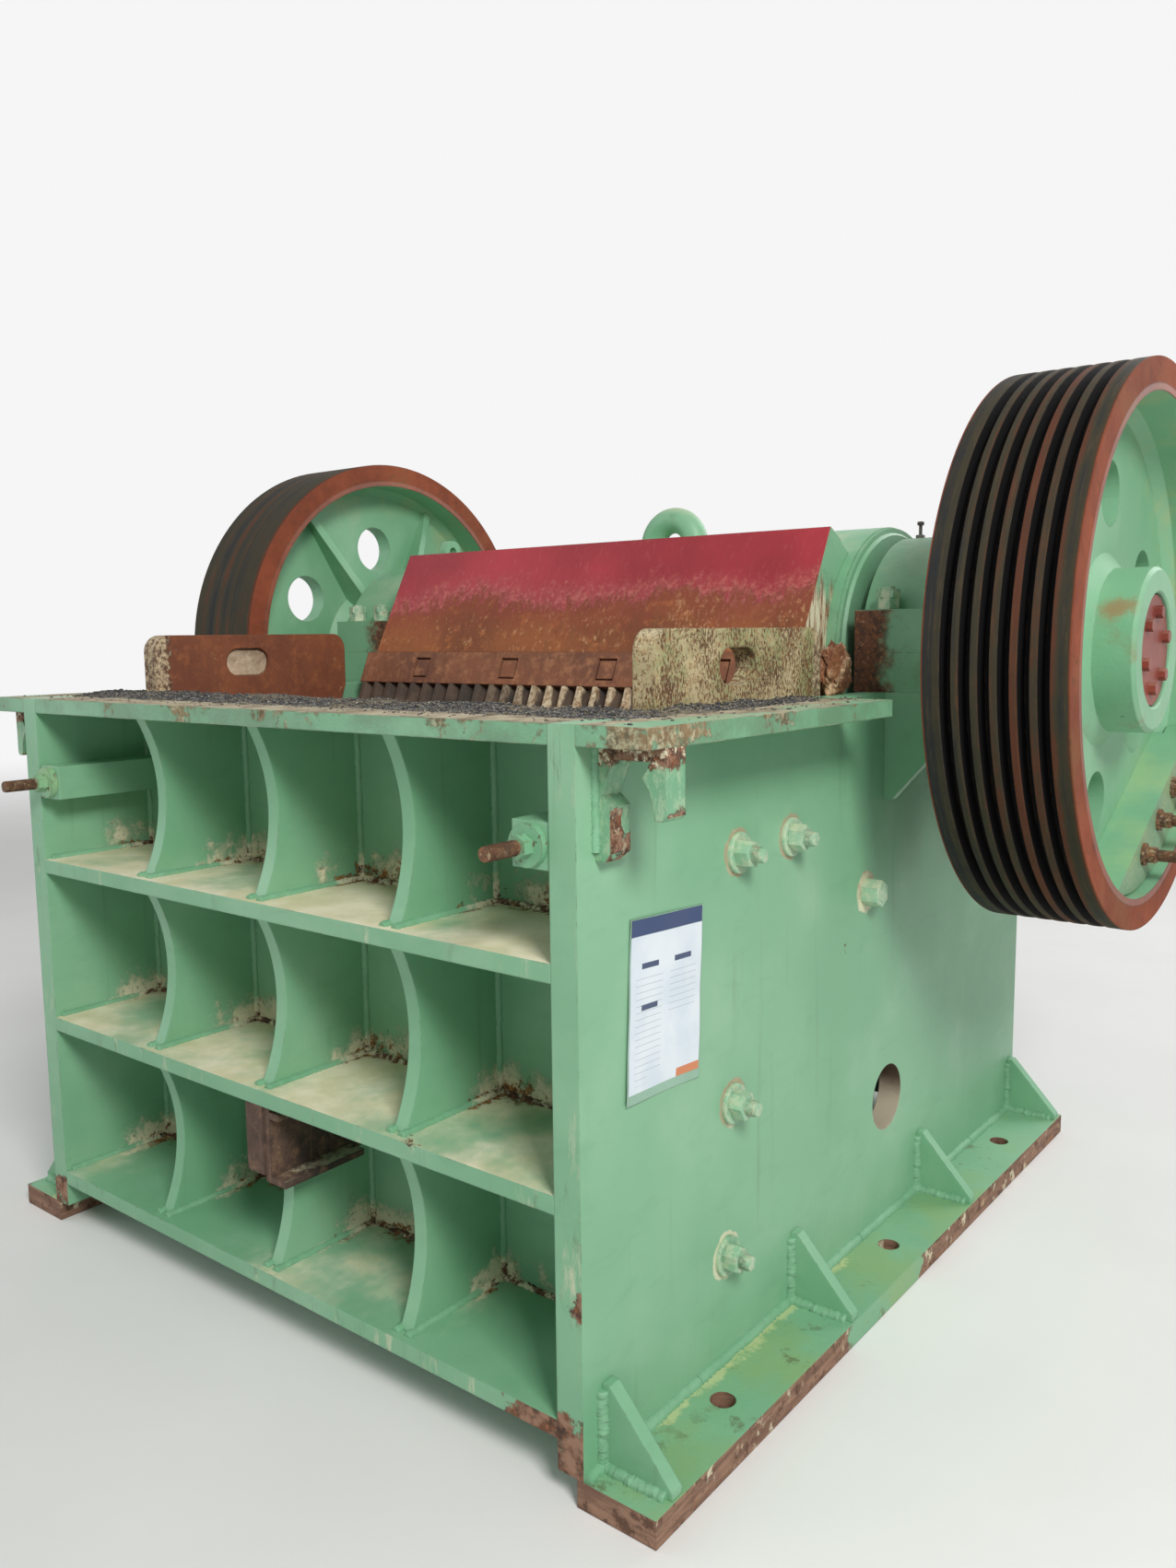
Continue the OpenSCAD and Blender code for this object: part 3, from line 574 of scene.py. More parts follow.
    def smooth(self, angle: float = 35.0) -> Bench:
        """Shades smooth across edges below an angle.

        Args:
            angle: The angle in degrees.

        Returns:
            The bench itself.
        """
        self.take()
        bpy.ops.object.shade_smooth_by_angle(angle=math.radians(angle))
        return self

    def copy(self, name: str, place: Matrix) -> Piece:
        """Makes a copy with its own mesh at another place.

        Args:
            name: The copy's name.
            place: The move from the model's place.

        Returns:
            The copy.
        """
        twin = self.piece.copy()
        twin.data = self.piece.data.copy()
        twin.name = name
        twin.data.name = name
        twin.data.transform(place)
        if place.determinant() < 0.0:
            twin.data.flip_normals()
        bpy.context.scene.collection.objects.link(twin)
        return twin

    def clear(self) -> None:
        """Removes the model once its copies are placed."""
        bpy.data.objects.remove(self.piece, do_unlink=True)


def join(name: str, parts: list[Piece]) -> Piece:
    """Joins pieces into one.

    Args:
        name: The joined piece's name.
        parts: The pieces.

    Returns:
        The joined piece.
    """
    bpy.ops.object.select_all(action="DESELECT")
    for part in parts:
        part.select_set(True)
    whole = parts[0]
    bpy.context.view_layer.objects.active = whole
    bpy.ops.object.join()
    whole.name = name
    whole.data.name = name
    return whole


def dress(piece: Piece, material: Material, body: str) -> None:
    """Finishes a piece and sets it on its body.

    Args:
        piece: The piece.
        material: Its finish.
        body: The body that it moves with.
    """
    piece.data.materials.clear()
    piece.data.materials.append(material)
    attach(piece, body)
    log.info("%s: %d faces on %s", piece.name, len(piece.data.polygons), body)


def share(value: float) -> float:
    """Keeps a value between 0 and 1."""
    return min(1.0, max(0.0, value))


def along(direction: Point, place: Point) -> Matrix:
    """Turns a model that was made along Z to another direction and moves it to its place.

    Args:
        direction: Where its Z axis points.
        place: Where its origin goes.

    Returns:
        The move.
    """
    turn = Vector(direction).to_track_quat("Z", "Y").to_matrix().to_4x4()
    return Matrix.Translation(Vector(place)) @ turn


def thread(name: str, radius: float, pitch: float, length: float) -> Bench:
    """Models the ridge of a screw thread along Z, from the origin up.

    Args:
        name: The piece's name.
        radius: The radius of the rod that it lies on.
        pitch: The rise of one turn.
        length: The length of rod that it covers.

    Returns:
        The bench that holds it.
    """
    bpy.ops.mesh.primitive_circle_add(
        vertices=3,
        radius=pitch * 0.42,
        location=(radius, 0.0, pitch * 0.4),
        rotation=(math.pi / 2, math.pi / 2, 0.0),
    )
    bench = Bench(name)
    turns = int(length / pitch - 0.5)
    bench.modify("SCREW", axis="Z", screw_offset=pitch, iterations=turns, steps=28, render_steps=28)
    bench.pick(Pick.EDGES, lambda _, __: False)
    bpy.ops.mesh.select_non_manifold(extend=False)
    bpy.ops.mesh.edge_face_add()
    bench.done()
    return bench.outward().smooth(50)


@dataclass(frozen=True)
class Plan:
    """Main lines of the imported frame, in metres."""

    front: float
    rear: float
    wall_out: float
    wall_in: float
    deck: float
    foot: float
    front_wall: float
    rear_wall: float
    axis: Pair
    block_out: float
    levels: tuple[float, ...] = (0.139, 0.531, 0.919)
    shelf: float = 0.033
    rib: float = 0.032
    cells: int = 4

    @classmethod
    def measure(cls) -> Plan:
        """Reads the lines from the boxes of the frame's own nodes.

        Returns:
            The plan.
        """
        wall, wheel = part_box("side_wall_right"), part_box("drive_pulley")
        return cls(
            front=wall[0][1],
            rear=wall[1][1],
            wall_out=wall[1][0],
            wall_in=wall[0][0],
            deck=wall[1][2],
            foot=wall[0][2],
            front_wall=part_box("front_wall")[0][1],
            rear_wall=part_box("rear_wall")[1][1],
            axis=((wheel[0][1] + wheel[1][1]) / 2, (wheel[0][2] + wheel[1][2]) / 2),
            block_out=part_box("bearing_blocks")[1][0],
        )

    @property
    def pitch(self) -> float:
        """Distance from one rib to the next."""
        return 2 * self.wall_in / self.cells

    @property
    def under_deck(self) -> float:
        """Height of the deck's lower face."""
        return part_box("deck_front")[0][2]

    def back(self, depth: float) -> float:
        """Place at a distance behind the front edge."""
        return self.front + depth


MINT = screen(116, 170, 132)
MINT_PALE = screen(132, 182, 146)
MINT_DEEP = screen(92, 144, 108)
MINT_FADED = screen(156, 192, 162)
MINT_CRUST = screen(176, 202, 166)
DUST = screen(214, 208, 176)
DUST_BROWN = screen(140, 124, 98)
GRIME = screen(84, 86, 62)
RUST_DARK = screen(58, 40, 31)
RUST = screen(106, 68, 46)
RUST_BRIGHT = screen(146, 92, 56)
CREAM = screen(222, 216, 186)
STAIN = screen(150, 116, 94)


def mint(g: Graph, scale: float, detail: float = 4.0) -> Socket:
    """Green of the paint, in soft patches."""
    return g.mix(g.step(g.noise(scale, detail), 0.3, 0.7), MINT, MINT_PALE)


def rusty(g: Graph) -> Socket:
    """Mottled rust colour."""
    under = g.mix(g.step(g.noise(42, 6, 0.7), 0.36, 0.64), RUST_DARK, RUST)
    return g.mix(g.step(g.noise(95, 4, 0.7), 0.5, 0.68), under, RUST_BRIGHT)


def fuzzy(g: Graph, mark: Value, scale: float, cut: float, soft: float) -> Socket:
    """Breaks a soft mark up into a speckled patch with a ragged border.

    Args:
        g: The material's graph.
        mark: The mark, 0 to 1.
        scale: Grains to a metre.
        cut: How strong the mark must be to show.
        soft: How wide the border is.

    Returns:
        The patch.
    """
    broken = g.scaled(g.minus(g.noise(scale, 9, 0.74), 0.5), 1.7, mark)
    return g.step(broken, cut, cut + soft)


@dataclass(frozen=True)
class FramePaint:
    """Green brush paint on plate, with dusty shelves, crusted corners and chipped edges."""

    name: str
    plan: Plan
    shelf_dust: tuple[float, ...] = (0.30, 0.86, 1.0)
    chips: float = 0.5
    streaks: float = 0.3
    wear: float = 0.1
    bolts: tuple[Pair, ...] = ()
    hole: Triple = (0.0, 0.0, 0.0)

    def paint(self, g: Graph) -> Socket:
        """The paint itself, with soft patches, brush strokes and dirt that ran down.

        Args:
            g: The material's graph.

        Returns:
            The colour.
        """
        colour = mint(g, 1.9, 3)
        faded = g.times(g.step(g.noise(3.7, 5, 0.6), 0.50, 0.72), 0.35)
        colour = g.mix(faded, colour, MINT_FADED)
        strokes = g.noise(9, 4, 0.6, g.stretched(1.0, 1.0, 3.0), 0.6)
        colour = g.mix(g.times(g.step(strokes, 0.5, 0.8), 0.2), colour, MINT_DEEP)
        runs = g.noise(1.0, 5, 0.6, g.stretched(24, 24, 1.5))
        upright = g.step(g.size(g.nz), 0.6, 0.3)
        runs = g.times(g.step(runs, 0.58, 0.82), upright, self.streaks)
        colour = g.mix(runs, colour, GRIME)
        speck = g.times(g.step(g.grains(120), 0.10, 0.04), g.step(g.noise(4.5), 0.6, 0.74), 0.6)
        return g.mix(speck, colour, RUST_DARK)

    def inside(self, g: Graph) -> Socket:
        """Marks the open cells at the front and the rear.

        Args:
            g: The material's graph.

        Returns:
            The mark.
        """
        plan = self.plan
        between = g.step(g.size(g.x), plan.wall_in + 0.012, plan.wall_in + 0.003)
        front = g.step(g.y, plan.front_wall + 0.02, plan.front_wall + 0.01)
        rear = g.step(g.y, plan.rear_wall - 0.02, plan.rear_wall - 0.01)
        return g.times(between, g.highest(front, rear))

    def settled(self, g: Graph, inside: Socket) -> Socket:
        """Marks the pale dust that lies on the shelves.

        Args:
            g: The material's graph.
            inside: Mark of the cells.

        Returns:
            The mark.
        """
        up = g.step(g.nz, 0.6, 0.9)
        amounts = [
            g.times(g.near(g.z, (level,), 0.05), amount)
            for level, amount in zip(self.plan.levels, self.shelf_dust)
        ]
        broad = g.scaled(g.noise(3.1, 5, 0.55), 1.0, g.times(g.highest(*amounts), 0.44))
        grain = g.scaled(g.minus(g.noise(50, 6, 0.7), 0.5), 0.12, broad)
        return g.times(up, inside, g.step(grain, 0.66, 0.96))

    def crust(self, g: Graph, inside: Socket) -> tuple[Socket, Socket]:
        """Marks pale crust along the seams and the rust in the deepest corners.

        Args:
            g: The material's graph.
            inside: Mark of the cells.

        Returns:
            The marks of crust and rust.
        """
        plan = self.plan
        low = g.above(g.z, plan.levels, 0.15)
        floor = g.above(g.z, plan.levels, 0.045)
        back = g.near(g.y, (plan.front_wall, plan.rear_wall), 0.26)
        deep = g.near(g.y, (plan.front_wall, plan.rear_wall), 0.11)
        spread = g.math("PINGPONG", g.plus(g.x, plan.wall_in), plan.pitch / 2)
        side = g.step(spread, 0.075, 0.018)
        upright = g.step(g.size(g.nz), 0.7, 0.4)
        splash = g.times(low, upright, g.step(back, 0.15, 0.75))
        seam = g.times(floor, side, g.step(back, 0.0, 0.5))
        reach = g.times(g.highest(splash, g.times(seam, 0.9)), g.step(g.noise(5, 4), 0.22, 0.55))
        pale = g.times(inside, fuzzy(g, reach, 30, 0.55, 0.38))
        crumbs = g.times(g.highest(g.times(floor, side), g.times(low, deep, 0.8)), g.step(back, 0.25, 0.8))
        crumbs = g.times(crumbs, g.step(g.noise(7, 3), 0.36, 0.58))
        return pale, g.times(inside, fuzzy(g, crumbs, 70, 0.66, 0.2))

    def smears(self, g: Graph) -> Socket:
        """Marks the pale smears round the bolts of the side walls and the drips below them.

        Args:
            g: The material's graph.

        Returns:
            The mark.
        """
        marks: list[Socket] = []
        for place, height in self.bolts:
            dz = g.minus(g.z, height)
            drip = g.times(g.near(g.y, (place,), 0.022), g.step(dz, -0.13, -0.03), g.step(dz, 0.0, -0.02))
            marks.append(g.highest(g.step(g.away(place, height), 0.062, 0.040), g.times(drip, 0.65)))
        return g.times(fuzzy(g, g.highest(*marks), 40, 0.62, 0.3), 0.8)

    def front_wear(self, g: Graph) -> tuple[Socket, Socket]:
        """Marks dirt that ran over the front edges, and rust low on the front.

        Args:
            g: The material's graph.

        Returns:
            The marks of dirt and rust.
        """
        plan = self.plan
        front = g.times(g.step(g.y, plan.front + 0.004, plan.front + 0.002), g.step(g.ny, -0.6, -0.9))
        ran = g.noise(1.0, 8, 0.7, g.stretched(46, 46, 9))
        dirt = g.times(front, g.step(ran, 0.52, 0.7), g.step(g.noise(5, 4), 0.4, 0.6), 0.6)
        end = g.step(g.size(g.x), plan.wall_in - 0.005, plan.wall_in)
        lip = g.times(g.step(g.x, 0.46, 0.74), g.step(g.z, 0.2, 0.15), 0.9)
        foot = g.times(end, g.step(g.z, 0.17, 0.10))
        patch = g.times(end, g.near(g.z, (0.35,), 0.12), g.near(g.x, (plan.wall_out,), 0.07), 0.9)
        return dirt, fuzzy(g, g.times(front, g.highest(lip, foot, patch)), 22, 0.72, 0.14)

    def build(self) -> Material:
        """Makes the material.

        Returns:
            The material.
        """
        g = Graph(self.name)
        colour = self.paint(g)
        inside = self.inside(g)
        dust = self.settled(g, inside)
        pale, rot = self.crust(g, inside)
        dirt, low = self.front_wear(g)
        powder = g.mix(g.step(g.noise(9, 5), 0.35, 0.65), screen(238, 230, 202), screen(216, 210, 172))
        colour = g.mix(dust, colour, powder)
        colour = g.mix(pale, colour, g.mix(g.step(g.noise(75, 5), 0.56, 0.72), CREAM, DUST_BROWN))
        orange = g.mix(g.step(g.noise(120, 5), 0.42, 0.6), screen(104, 70, 40), screen(172, 118, 62))
        colour = g.mix(rot, colour, orange)
        colour = g.mix(dirt, colour, g.mix(g.step(g.noise(11), 0.45, 0.55), CREAM, GRIME))
        covers = [dust, pale, rot, dirt]
        if self.bolts:
            smear = self.smears(g)
            spot = g.mix(g.step(g.noise(4), 0.46, 0.54), CREAM, screen(174, 150, 122))
            colour = g.mix(smear, colour, spot)
            covers.append(smear)
        if self.hole[2]:
            # Inside the side-wall bore: darker towards the top, paler towards the bottom.
            ring = g.step(g.away(*self.hole[:2]), self.hole[2] + 0.002, self.hole[2])
            level = g.minus(g.z, self.hole[1])
            level = g.scaled(g.noise(9, 6, 0.6), 0.06, level)
            bore_tone = g.mix(g.step(level, 0.06, -0.01), screen(84, 66, 54), screen(182, 172, 150))
            colour = g.mix(ring, colour, bore_tone)
            covers.append(ring)

        soft = g.rounded(0.004)
        edge = g.times(g.step(g.edges(soft), 0.015, 0.12), self.chips)
        chipped = g.times(edge, g.step(g.noise(13, 9, 0.74), 0.54, 0.62))
        line = 0.70 - 0.12 * self.wear
        worn = g.step(g.noise(6.5, 9, 0.7), line, line + 0.025)
        worn = g.times(worn, g.step(g.noise(70, 5, 0.7), 0.3, 0.5))
        bare = g.highest(chipped, worn, low)
        colour = g.mix(bare, colour, g.mix(g.times(low, g.step(g.noise(30, 6), 0.4, 0.6)), rusty(g), STAIN))

        cover = g.highest(bare, *covers)
        rough = g.scaled(cover, 0.42, 0.40)
        brushed = g.noise(1.0, 4, 0.6, g.stretched(60, 60, 14))
        relief = g.plus(g.times(brushed, 0.3), g.times(cover, g.noise(230, 4), 0.9))
        relief = g.scaled(g.highest(pale, rot), 0.8, relief)
        return g.finish(colour, rough, g.bump(relief, 0.0013, soft))


@dataclass(frozen=True)
class FootPaint:
    """Trodden paint on the feet, with dusty brown upright edges."""

    name: str
    plan: Plan

    def build(self) -> Material:
        """Makes the material.

        Returns:
            The material.
        """
        g = Graph(self.name)
        colour = mint(g, 2.2)
        olive = g.times(g.step(g.noise(3.4, 8, 0.6), 0.44, 0.62), 0.6)
        colour = g.mix(olive, colour, screen(140, 170, 108))
        out = g.size(g.x)
        seam = g.near(out, (self.plan.wall_out,), 0.075)
        crust = fuzzy(g, g.times(seam, g.step(g.noise(3), 0.38, 0.6)), 30, 0.6, 0.25)
        colour = g.mix(g.times(crust, 0.75), colour, screen(196, 206, 150))
        dark = g.times(g.step(g.noise(11, 8, 0.68), 0.56, 0.64), g.step(g.noise(2.6), 0.42, 0.6), 0.7)
        speck = g.times(g.step(g.noise(60, 8, 0.72), 0.6, 0.66), g.step(g.noise(5), 0.48, 0.6))
        colour = g.mix(g.highest(dark, speck), colour, screen(92, 92, 58))
        up = g.step(g.nz, 0.6, 0.9)
        rim = g.times(up, fuzzy(g, g.step(out, 0.968, 1.0), 24, 0.9, 0.1))
        colour = g.mix(rim, colour, g.mix(g.step(g.noise(9, 6), 0.42, 0.56), rusty(g), STAIN))
        layers = g.noise(1.0, 7, 0.7, g.stretched(9, 9, 70))
        brown = g.mix(g.step(layers, 0.35, 0.65), screen(112, 82, 66), screen(152, 118, 96))
        brown = g.mix(g.step(g.noise(36, 8, 0.7), 0.52, 0.62), brown, screen(92, 64, 48))
        side = g.step(g.size(g.nx), 0.7, 0.9)
        crumb = g.times(side, g.step(g.noise(21, 8, 0.68), 0.56, 0.64))
        flake = g.mix(g.step(g.noise(7), 0.4, 0.6), CREAM, screen(150, 96, 56))
        brown = g.mix(g.times(crumb, 0.9), brown, flake)
        kept = g.minus(1.0, g.times(side, g.near(g.y, (-0.18,), 0.3), 1.5))
        kept = g.scaled(g.minus(g.noise(14, 8, 0.7), 0.5), 1.4, kept)
        flank = g.times(g.step(g.nz, 0.6, 0.3), g.step(kept, 0.36, 0.44))
        colour = g.mix(flank, colour, brown)
        soft = g.rounded(0.004)
        bare = g.highest(rim, flank)
        relief = g.plus(g.noise(90, 6, 0.7), g.times(bare, 0.6))
        return g.finish(colour, g.scaled(bare, 0.34, 0.5), g.bump(relief, 0.0014, soft))


@dataclass(frozen=True)
class DeckPaint:
    """The deck: tan grit dust on top, green edges with cream and rusty stains."""

    name: str
    plan: Plan
    reach: Pair

    def stains(self, g: Graph) -> Socket:
        """Marks the stains on the edges, most at the front corners.

        Args:
            g: The material's graph.

        Returns:
            The mark.
        """
        flank = g.step(g.nz, 0.5, 0.2)
        ran = g.scaled(g.noise(5, 4, 0.6), 0.7, g.times(g.noise(40, 8, 0.72), 0.5))
        end = g.step(g.size(g.x), 0.80, 0.94)
        corner = g.times(end, g.step(g.y, self.plan.front + 0.2, self.plan.front + 0.06))
        long = g.near(g.x, (0.55, 0.62, -0.2), 0.06)
        extra = g.times(g.highest(corner, g.times(long, 0.8)), 0.085)
        top = g.times(g.step(g.z, self.plan.deck - 0.008, self.plan.deck - 0.002), 0.035)
        return g.times(flank, g.step(g.plus(g.plus(ran, extra), top), 0.66, 0.74))

    def build(self) -> Material:
        """Makes the material.

        Returns:
            The material.
        """
        g = Graph(self.name)
        colour = mint(g, 2.1, 3)
        tan = g.times(g.step(g.noise(7, 7, 0.65), 0.42, 0.62), g.step(g.nz, 0.5, 0.9), 0.7)
        colour = g.mix(tan, colour, screen(158, 172, 132))
        dull = g.times(g.step(g.noise(4, 8, 0.66), 0.40, 0.60), g.step(g.nz, 0.5, 0.2), 0.6)
        colour = g.mix(dull, colour, screen(96, 126, 98))
        up = g.step(g.nz, 0.6, 0.9)
        inner = g.step(g.size(g.x), *self.reach)
        field = g.scaled(inner, 0.26, g.noise(6, 9, 0.66))
        dusty = g.times(up, g.step(field, 0.46, 0.6))
        soil = g.mix(g.step(g.noise(16, 7, 0.7), 0.36, 0.62), screen(126, 112, 90), screen(182, 172, 146))
        soil = g.mix(g.step(g.grains(260), 0.20, 0.10), soil, screen(56, 54, 52))
        colour = g.mix(dusty, colour, soil)
        chip = self.stains(g)
        dark = g.mix(g.step(g.noise(26, 7, 0.7), 0.4, 0.6), screen(92, 66, 44), screen(140, 104, 72))
        chip_colour = g.mix(g.step(g.noise(60, 8, 0.74), 0.38, 0.54), screen(190, 180, 148), dark)
        colour = g.mix(g.times(chip, 0.85), colour, chip_colour)
        soft = g.rounded(0.004)
        edge = g.times(g.step(g.edges(soft), 0.015, 0.12), g.step(g.noise(17, 8, 0.7), 0.42, 0.56))
        worn = g.mix(g.step(g.noise(8), 0.4, 0.6), screen(84, 74, 56), DUST)
        colour = g.mix(g.times(edge, 0.8), colour, worn)
        cover = g.highest(dusty, chip, edge)
        relief = g.plus(g.noise(140, 6, 0.7), g.times(cover, 0.7))
        return g.finish(colour, g.scaled(cover, 0.42, 0.42), g.bump(relief, 0.0014, soft))


@dataclass(frozen=True)
class HookPaint:
    """Crusted pale paint on the lifting hooks, rusted through low on their outer faces."""

    name: str
    low: float
    high: float

    def build(self) -> Material:
        """Makes the material.

        Returns:
            The material.
        """
        g = Graph(self.name)
        colour = g.mix(g.step(g.noise(6, 5), 0.35, 0.65), MINT, MINT_PALE)
        crust = g.step(g.noise(1.0, 9, 0.76, g.stretched(70, 70, 36)), 0.46, 0.58)
        colour = g.mix(g.times(crust, 0.6), colour, MINT_CRUST)
        outer = g.step(g.size(g.nx), 0.6, 0.9)
        low = g.step(g.z, self.low + 0.75 * (self.high - self.low), self.low + 0.3 * (self.high - self.low))
        rot = fuzzy(g, g.times(outer, low, g.step(g.noise(12, 3), 0.34, 0.56)), 26, 0.6, 0.1)
        top = fuzzy(g, g.step(g.z, self.high - 0.07, self.high), 24, 0.6, 0.15)
        soft = g.rounded(0.004)
        edge = g.times(g.step(g.edges(soft), 0.02, 0.12), g.step(g.noise(24, 8, 0.7), 0.48, 0.6), 0.8)
        bare = g.highest(rot, top, edge)
        colour = g.mix(bare, colour, g.mix(g.step(g.noise(60, 7, 0.7), 0.45, 0.6), rusty(g), STAIN))
        cream = g.times(g.step(g.noise(46, 9, 0.74), 0.54, 0.6), g.highest(top, g.times(rot, 0.4)))
        colour = g.mix(cream, colour, CREAM)
        relief = g.plus(g.noise(160, 7, 0.75), g.times(bare, -0.6))
        return g.finish(colour, g.scaled(bare, 0.34, 0.52), g.bump(relief, 0.0018, soft))


@dataclass(frozen=True)
class Rust:
    """Bare rusted steel with scale, run marks and dust."""

    name: str
    deep: Rgb = RUST_DARK
    body: Rgb = RUST
    bright: Rgb = RUST_BRIGHT
    dust: float = 0.3
    depth: float = 0.0018
    drips: float = 0.45

    def surface(self, g: Graph) -> Socket:
        """Colour of the bare rust.

        Args:
            g: The material's graph.

        Returns:
            The colour.
        """
        colour = g.mix(g.step(g.noise(4.5, 6, 0.6), 0.34, 0.66), self.deep, self.body)
        colour = g.mix(g.step(g.noise(27, 8, 0.7), 0.46, 0.7), colour, self.bright)
        colour = g.mix(g.times(g.step(g.noise(110, 5, 0.7), 0.52, 0.66), 0.5), colour, self.deep)
        runs = g.step(g.noise(1.0, 6, 0.68, g.stretched(44, 44, 5)), 0.54, 0.72)
        return g.mix(g.times(runs, self.drips), colour, self.bright)

    def dusted(self, g: Graph, colour: Value) -> Socket:
        """Lays dust on what looks up."""
        up = g.times(g.step(g.nz, 0.5, 0.9), g.step(g.noise(22, 7, 0.7), 0.42, 0.62), self.dust)
        return g.mix(up, colour, DUST)

    def build(self) -> Material:
        """Makes the material.

        Returns:
            The material.
        """
        g = Graph(self.name)
        colour = self.dusted(g, self.surface(g))
        soft = g.rounded(0.005)
        edge = g.times(g.step(g.edges(soft), 0.015, 0.12), 0.5)
        colour = g.mix(edge, colour, self.deep)
        return g.finish(colour, 0.84, g.bump(g.noise(65, 7, 0.7), self.depth, soft))


@dataclass(frozen=True)
class CheekPaint(Rust):
    """A cheek plate: rust below pale and olive paint that has flaked off in fine specks."""

    crumbs: Pair = (0.0, 1.0)
    flaked: float = 0.0

    def build(self) -> Material:
        """Makes the material.

        Returns:
            The material.
        """
        g = Graph(self.name)
        colour = self.surface(g)
        tone = g.mix(g.step(g.noise(7, 6, 0.6), 0.40, 0.58), screen(204, 188, 148), screen(158, 162, 114))
        tone = g.mix(g.step(g.noise(90, 7, 0.7), 0.45, 0.65), tone, screen(176, 148, 106))
        fine = g.noise(1.0, 6, 0.78, g.stretched(210, 210, 105))
        field = g.scaled(g.noise(9, 5, 0.6), 0.34, g.times(fine, 0.82))
        line = 0.84 - 0.36 * self.flaked
        cover = g.times(g.step(field, line, line + 0.04), 1.0 if self.flaked else 0.0)
        crumb = fuzzy(g, g.step(g.y, self.crumbs[1], self.crumbs[0]), 52, 0.62, 0.2)
        tint = g.mix(g.step(g.noise(80, 6, 0.7), 0.4, 0.6), screen(96, 72, 54), screen(206, 186, 152))
        colour = g.mix(cover, colour, tone)
        colour = g.mix(crumb, colour, tint)
        streak = g.step(g.noise(1.0, 9, 0.8, g.stretched(90, 90, 34)), 0.56, 0.62)
        colour = g.mix(g.times(streak, 0.3 + 0.4 * self.flaked), colour, screen(112, 72, 44))
        speck = g.times(g.step(g.noise(75, 8, 0.75), 0.60, 0.64), g.step(g.noise(5, 3), 0.52, 0.62))
        colour = g.mix(g.times(speck, 0.7), colour, screen(206, 170, 130))
        colour = self.dusted(g, colour)
        soft = g.rounded(0.005)
        edge = g.times(g.step(g.edges(soft), 0.015, 0.12), g.step(g.noise(30, 7, 0.7), 0.4, 0.55))
        colour = g.mix(g.times(edge, 0.7), colour, screen(176, 150, 112) if self.flaked else self.deep)
        relief = g.scaled(g.highest(cover, crumb), 0.8, g.noise(120, 7, 0.75))
        return g.finish(colour, 0.78, g.bump(relief, self.depth, soft))


@dataclass(frozen=True)
class TeethSteel:
    """Dark, dusty jaw teeth, bright along their crests on the right half: partly wear and partly a painted
    highlight, with the left half left dark as painted shade and dirt.
    """

    name: str
    width: float
    pitch: float = 0.050
    rise: float = 0.018

    def build(self) -> Material:
        """Makes the material.

        Returns:
            The material.
        """
        g = Graph(self.name)
        colour = g.mix(g.step(g.noise(12, 6), 0.35, 0.65), screen(54, 46, 40), screen(92, 74, 60))
        start = math.floor(self.width / self.pitch) * self.pitch / 2
        off = g.math("PINGPONG", g.plus(g.x, start - self.rise), self.pitch / 2)
        stripe = g.noise(1.0, 7, 0.66, g.stretched(24, 24, 6))
        crest = g.scaled(g.step(off, 0.017, 0.004), 0.34, stripe)
        # Crest brightening is partly wear, partly painted highlight; the step on x keeps the left half dark
        # as painted shade and dirt.
        worn = g.times(g.step(crest, 0.58, 0.72), g.step(g.x, -0.3, 0.05))
        bright = g.mix(g.step(g.noise(70, 7, 0.7), 0.4, 0.6), screen(150, 118, 84), screen(216, 200, 168))
        colour = g.mix(g.times(worn, 0.9), colour, bright)
        soft = g.rounded(0.004)
        rough = g.scaled(worn, -0.25, 0.78)
        return g.finish(colour, rough, g.bump(g.noise(80, 7, 0.7), 0.0014, soft), g.times(worn, 0.25))


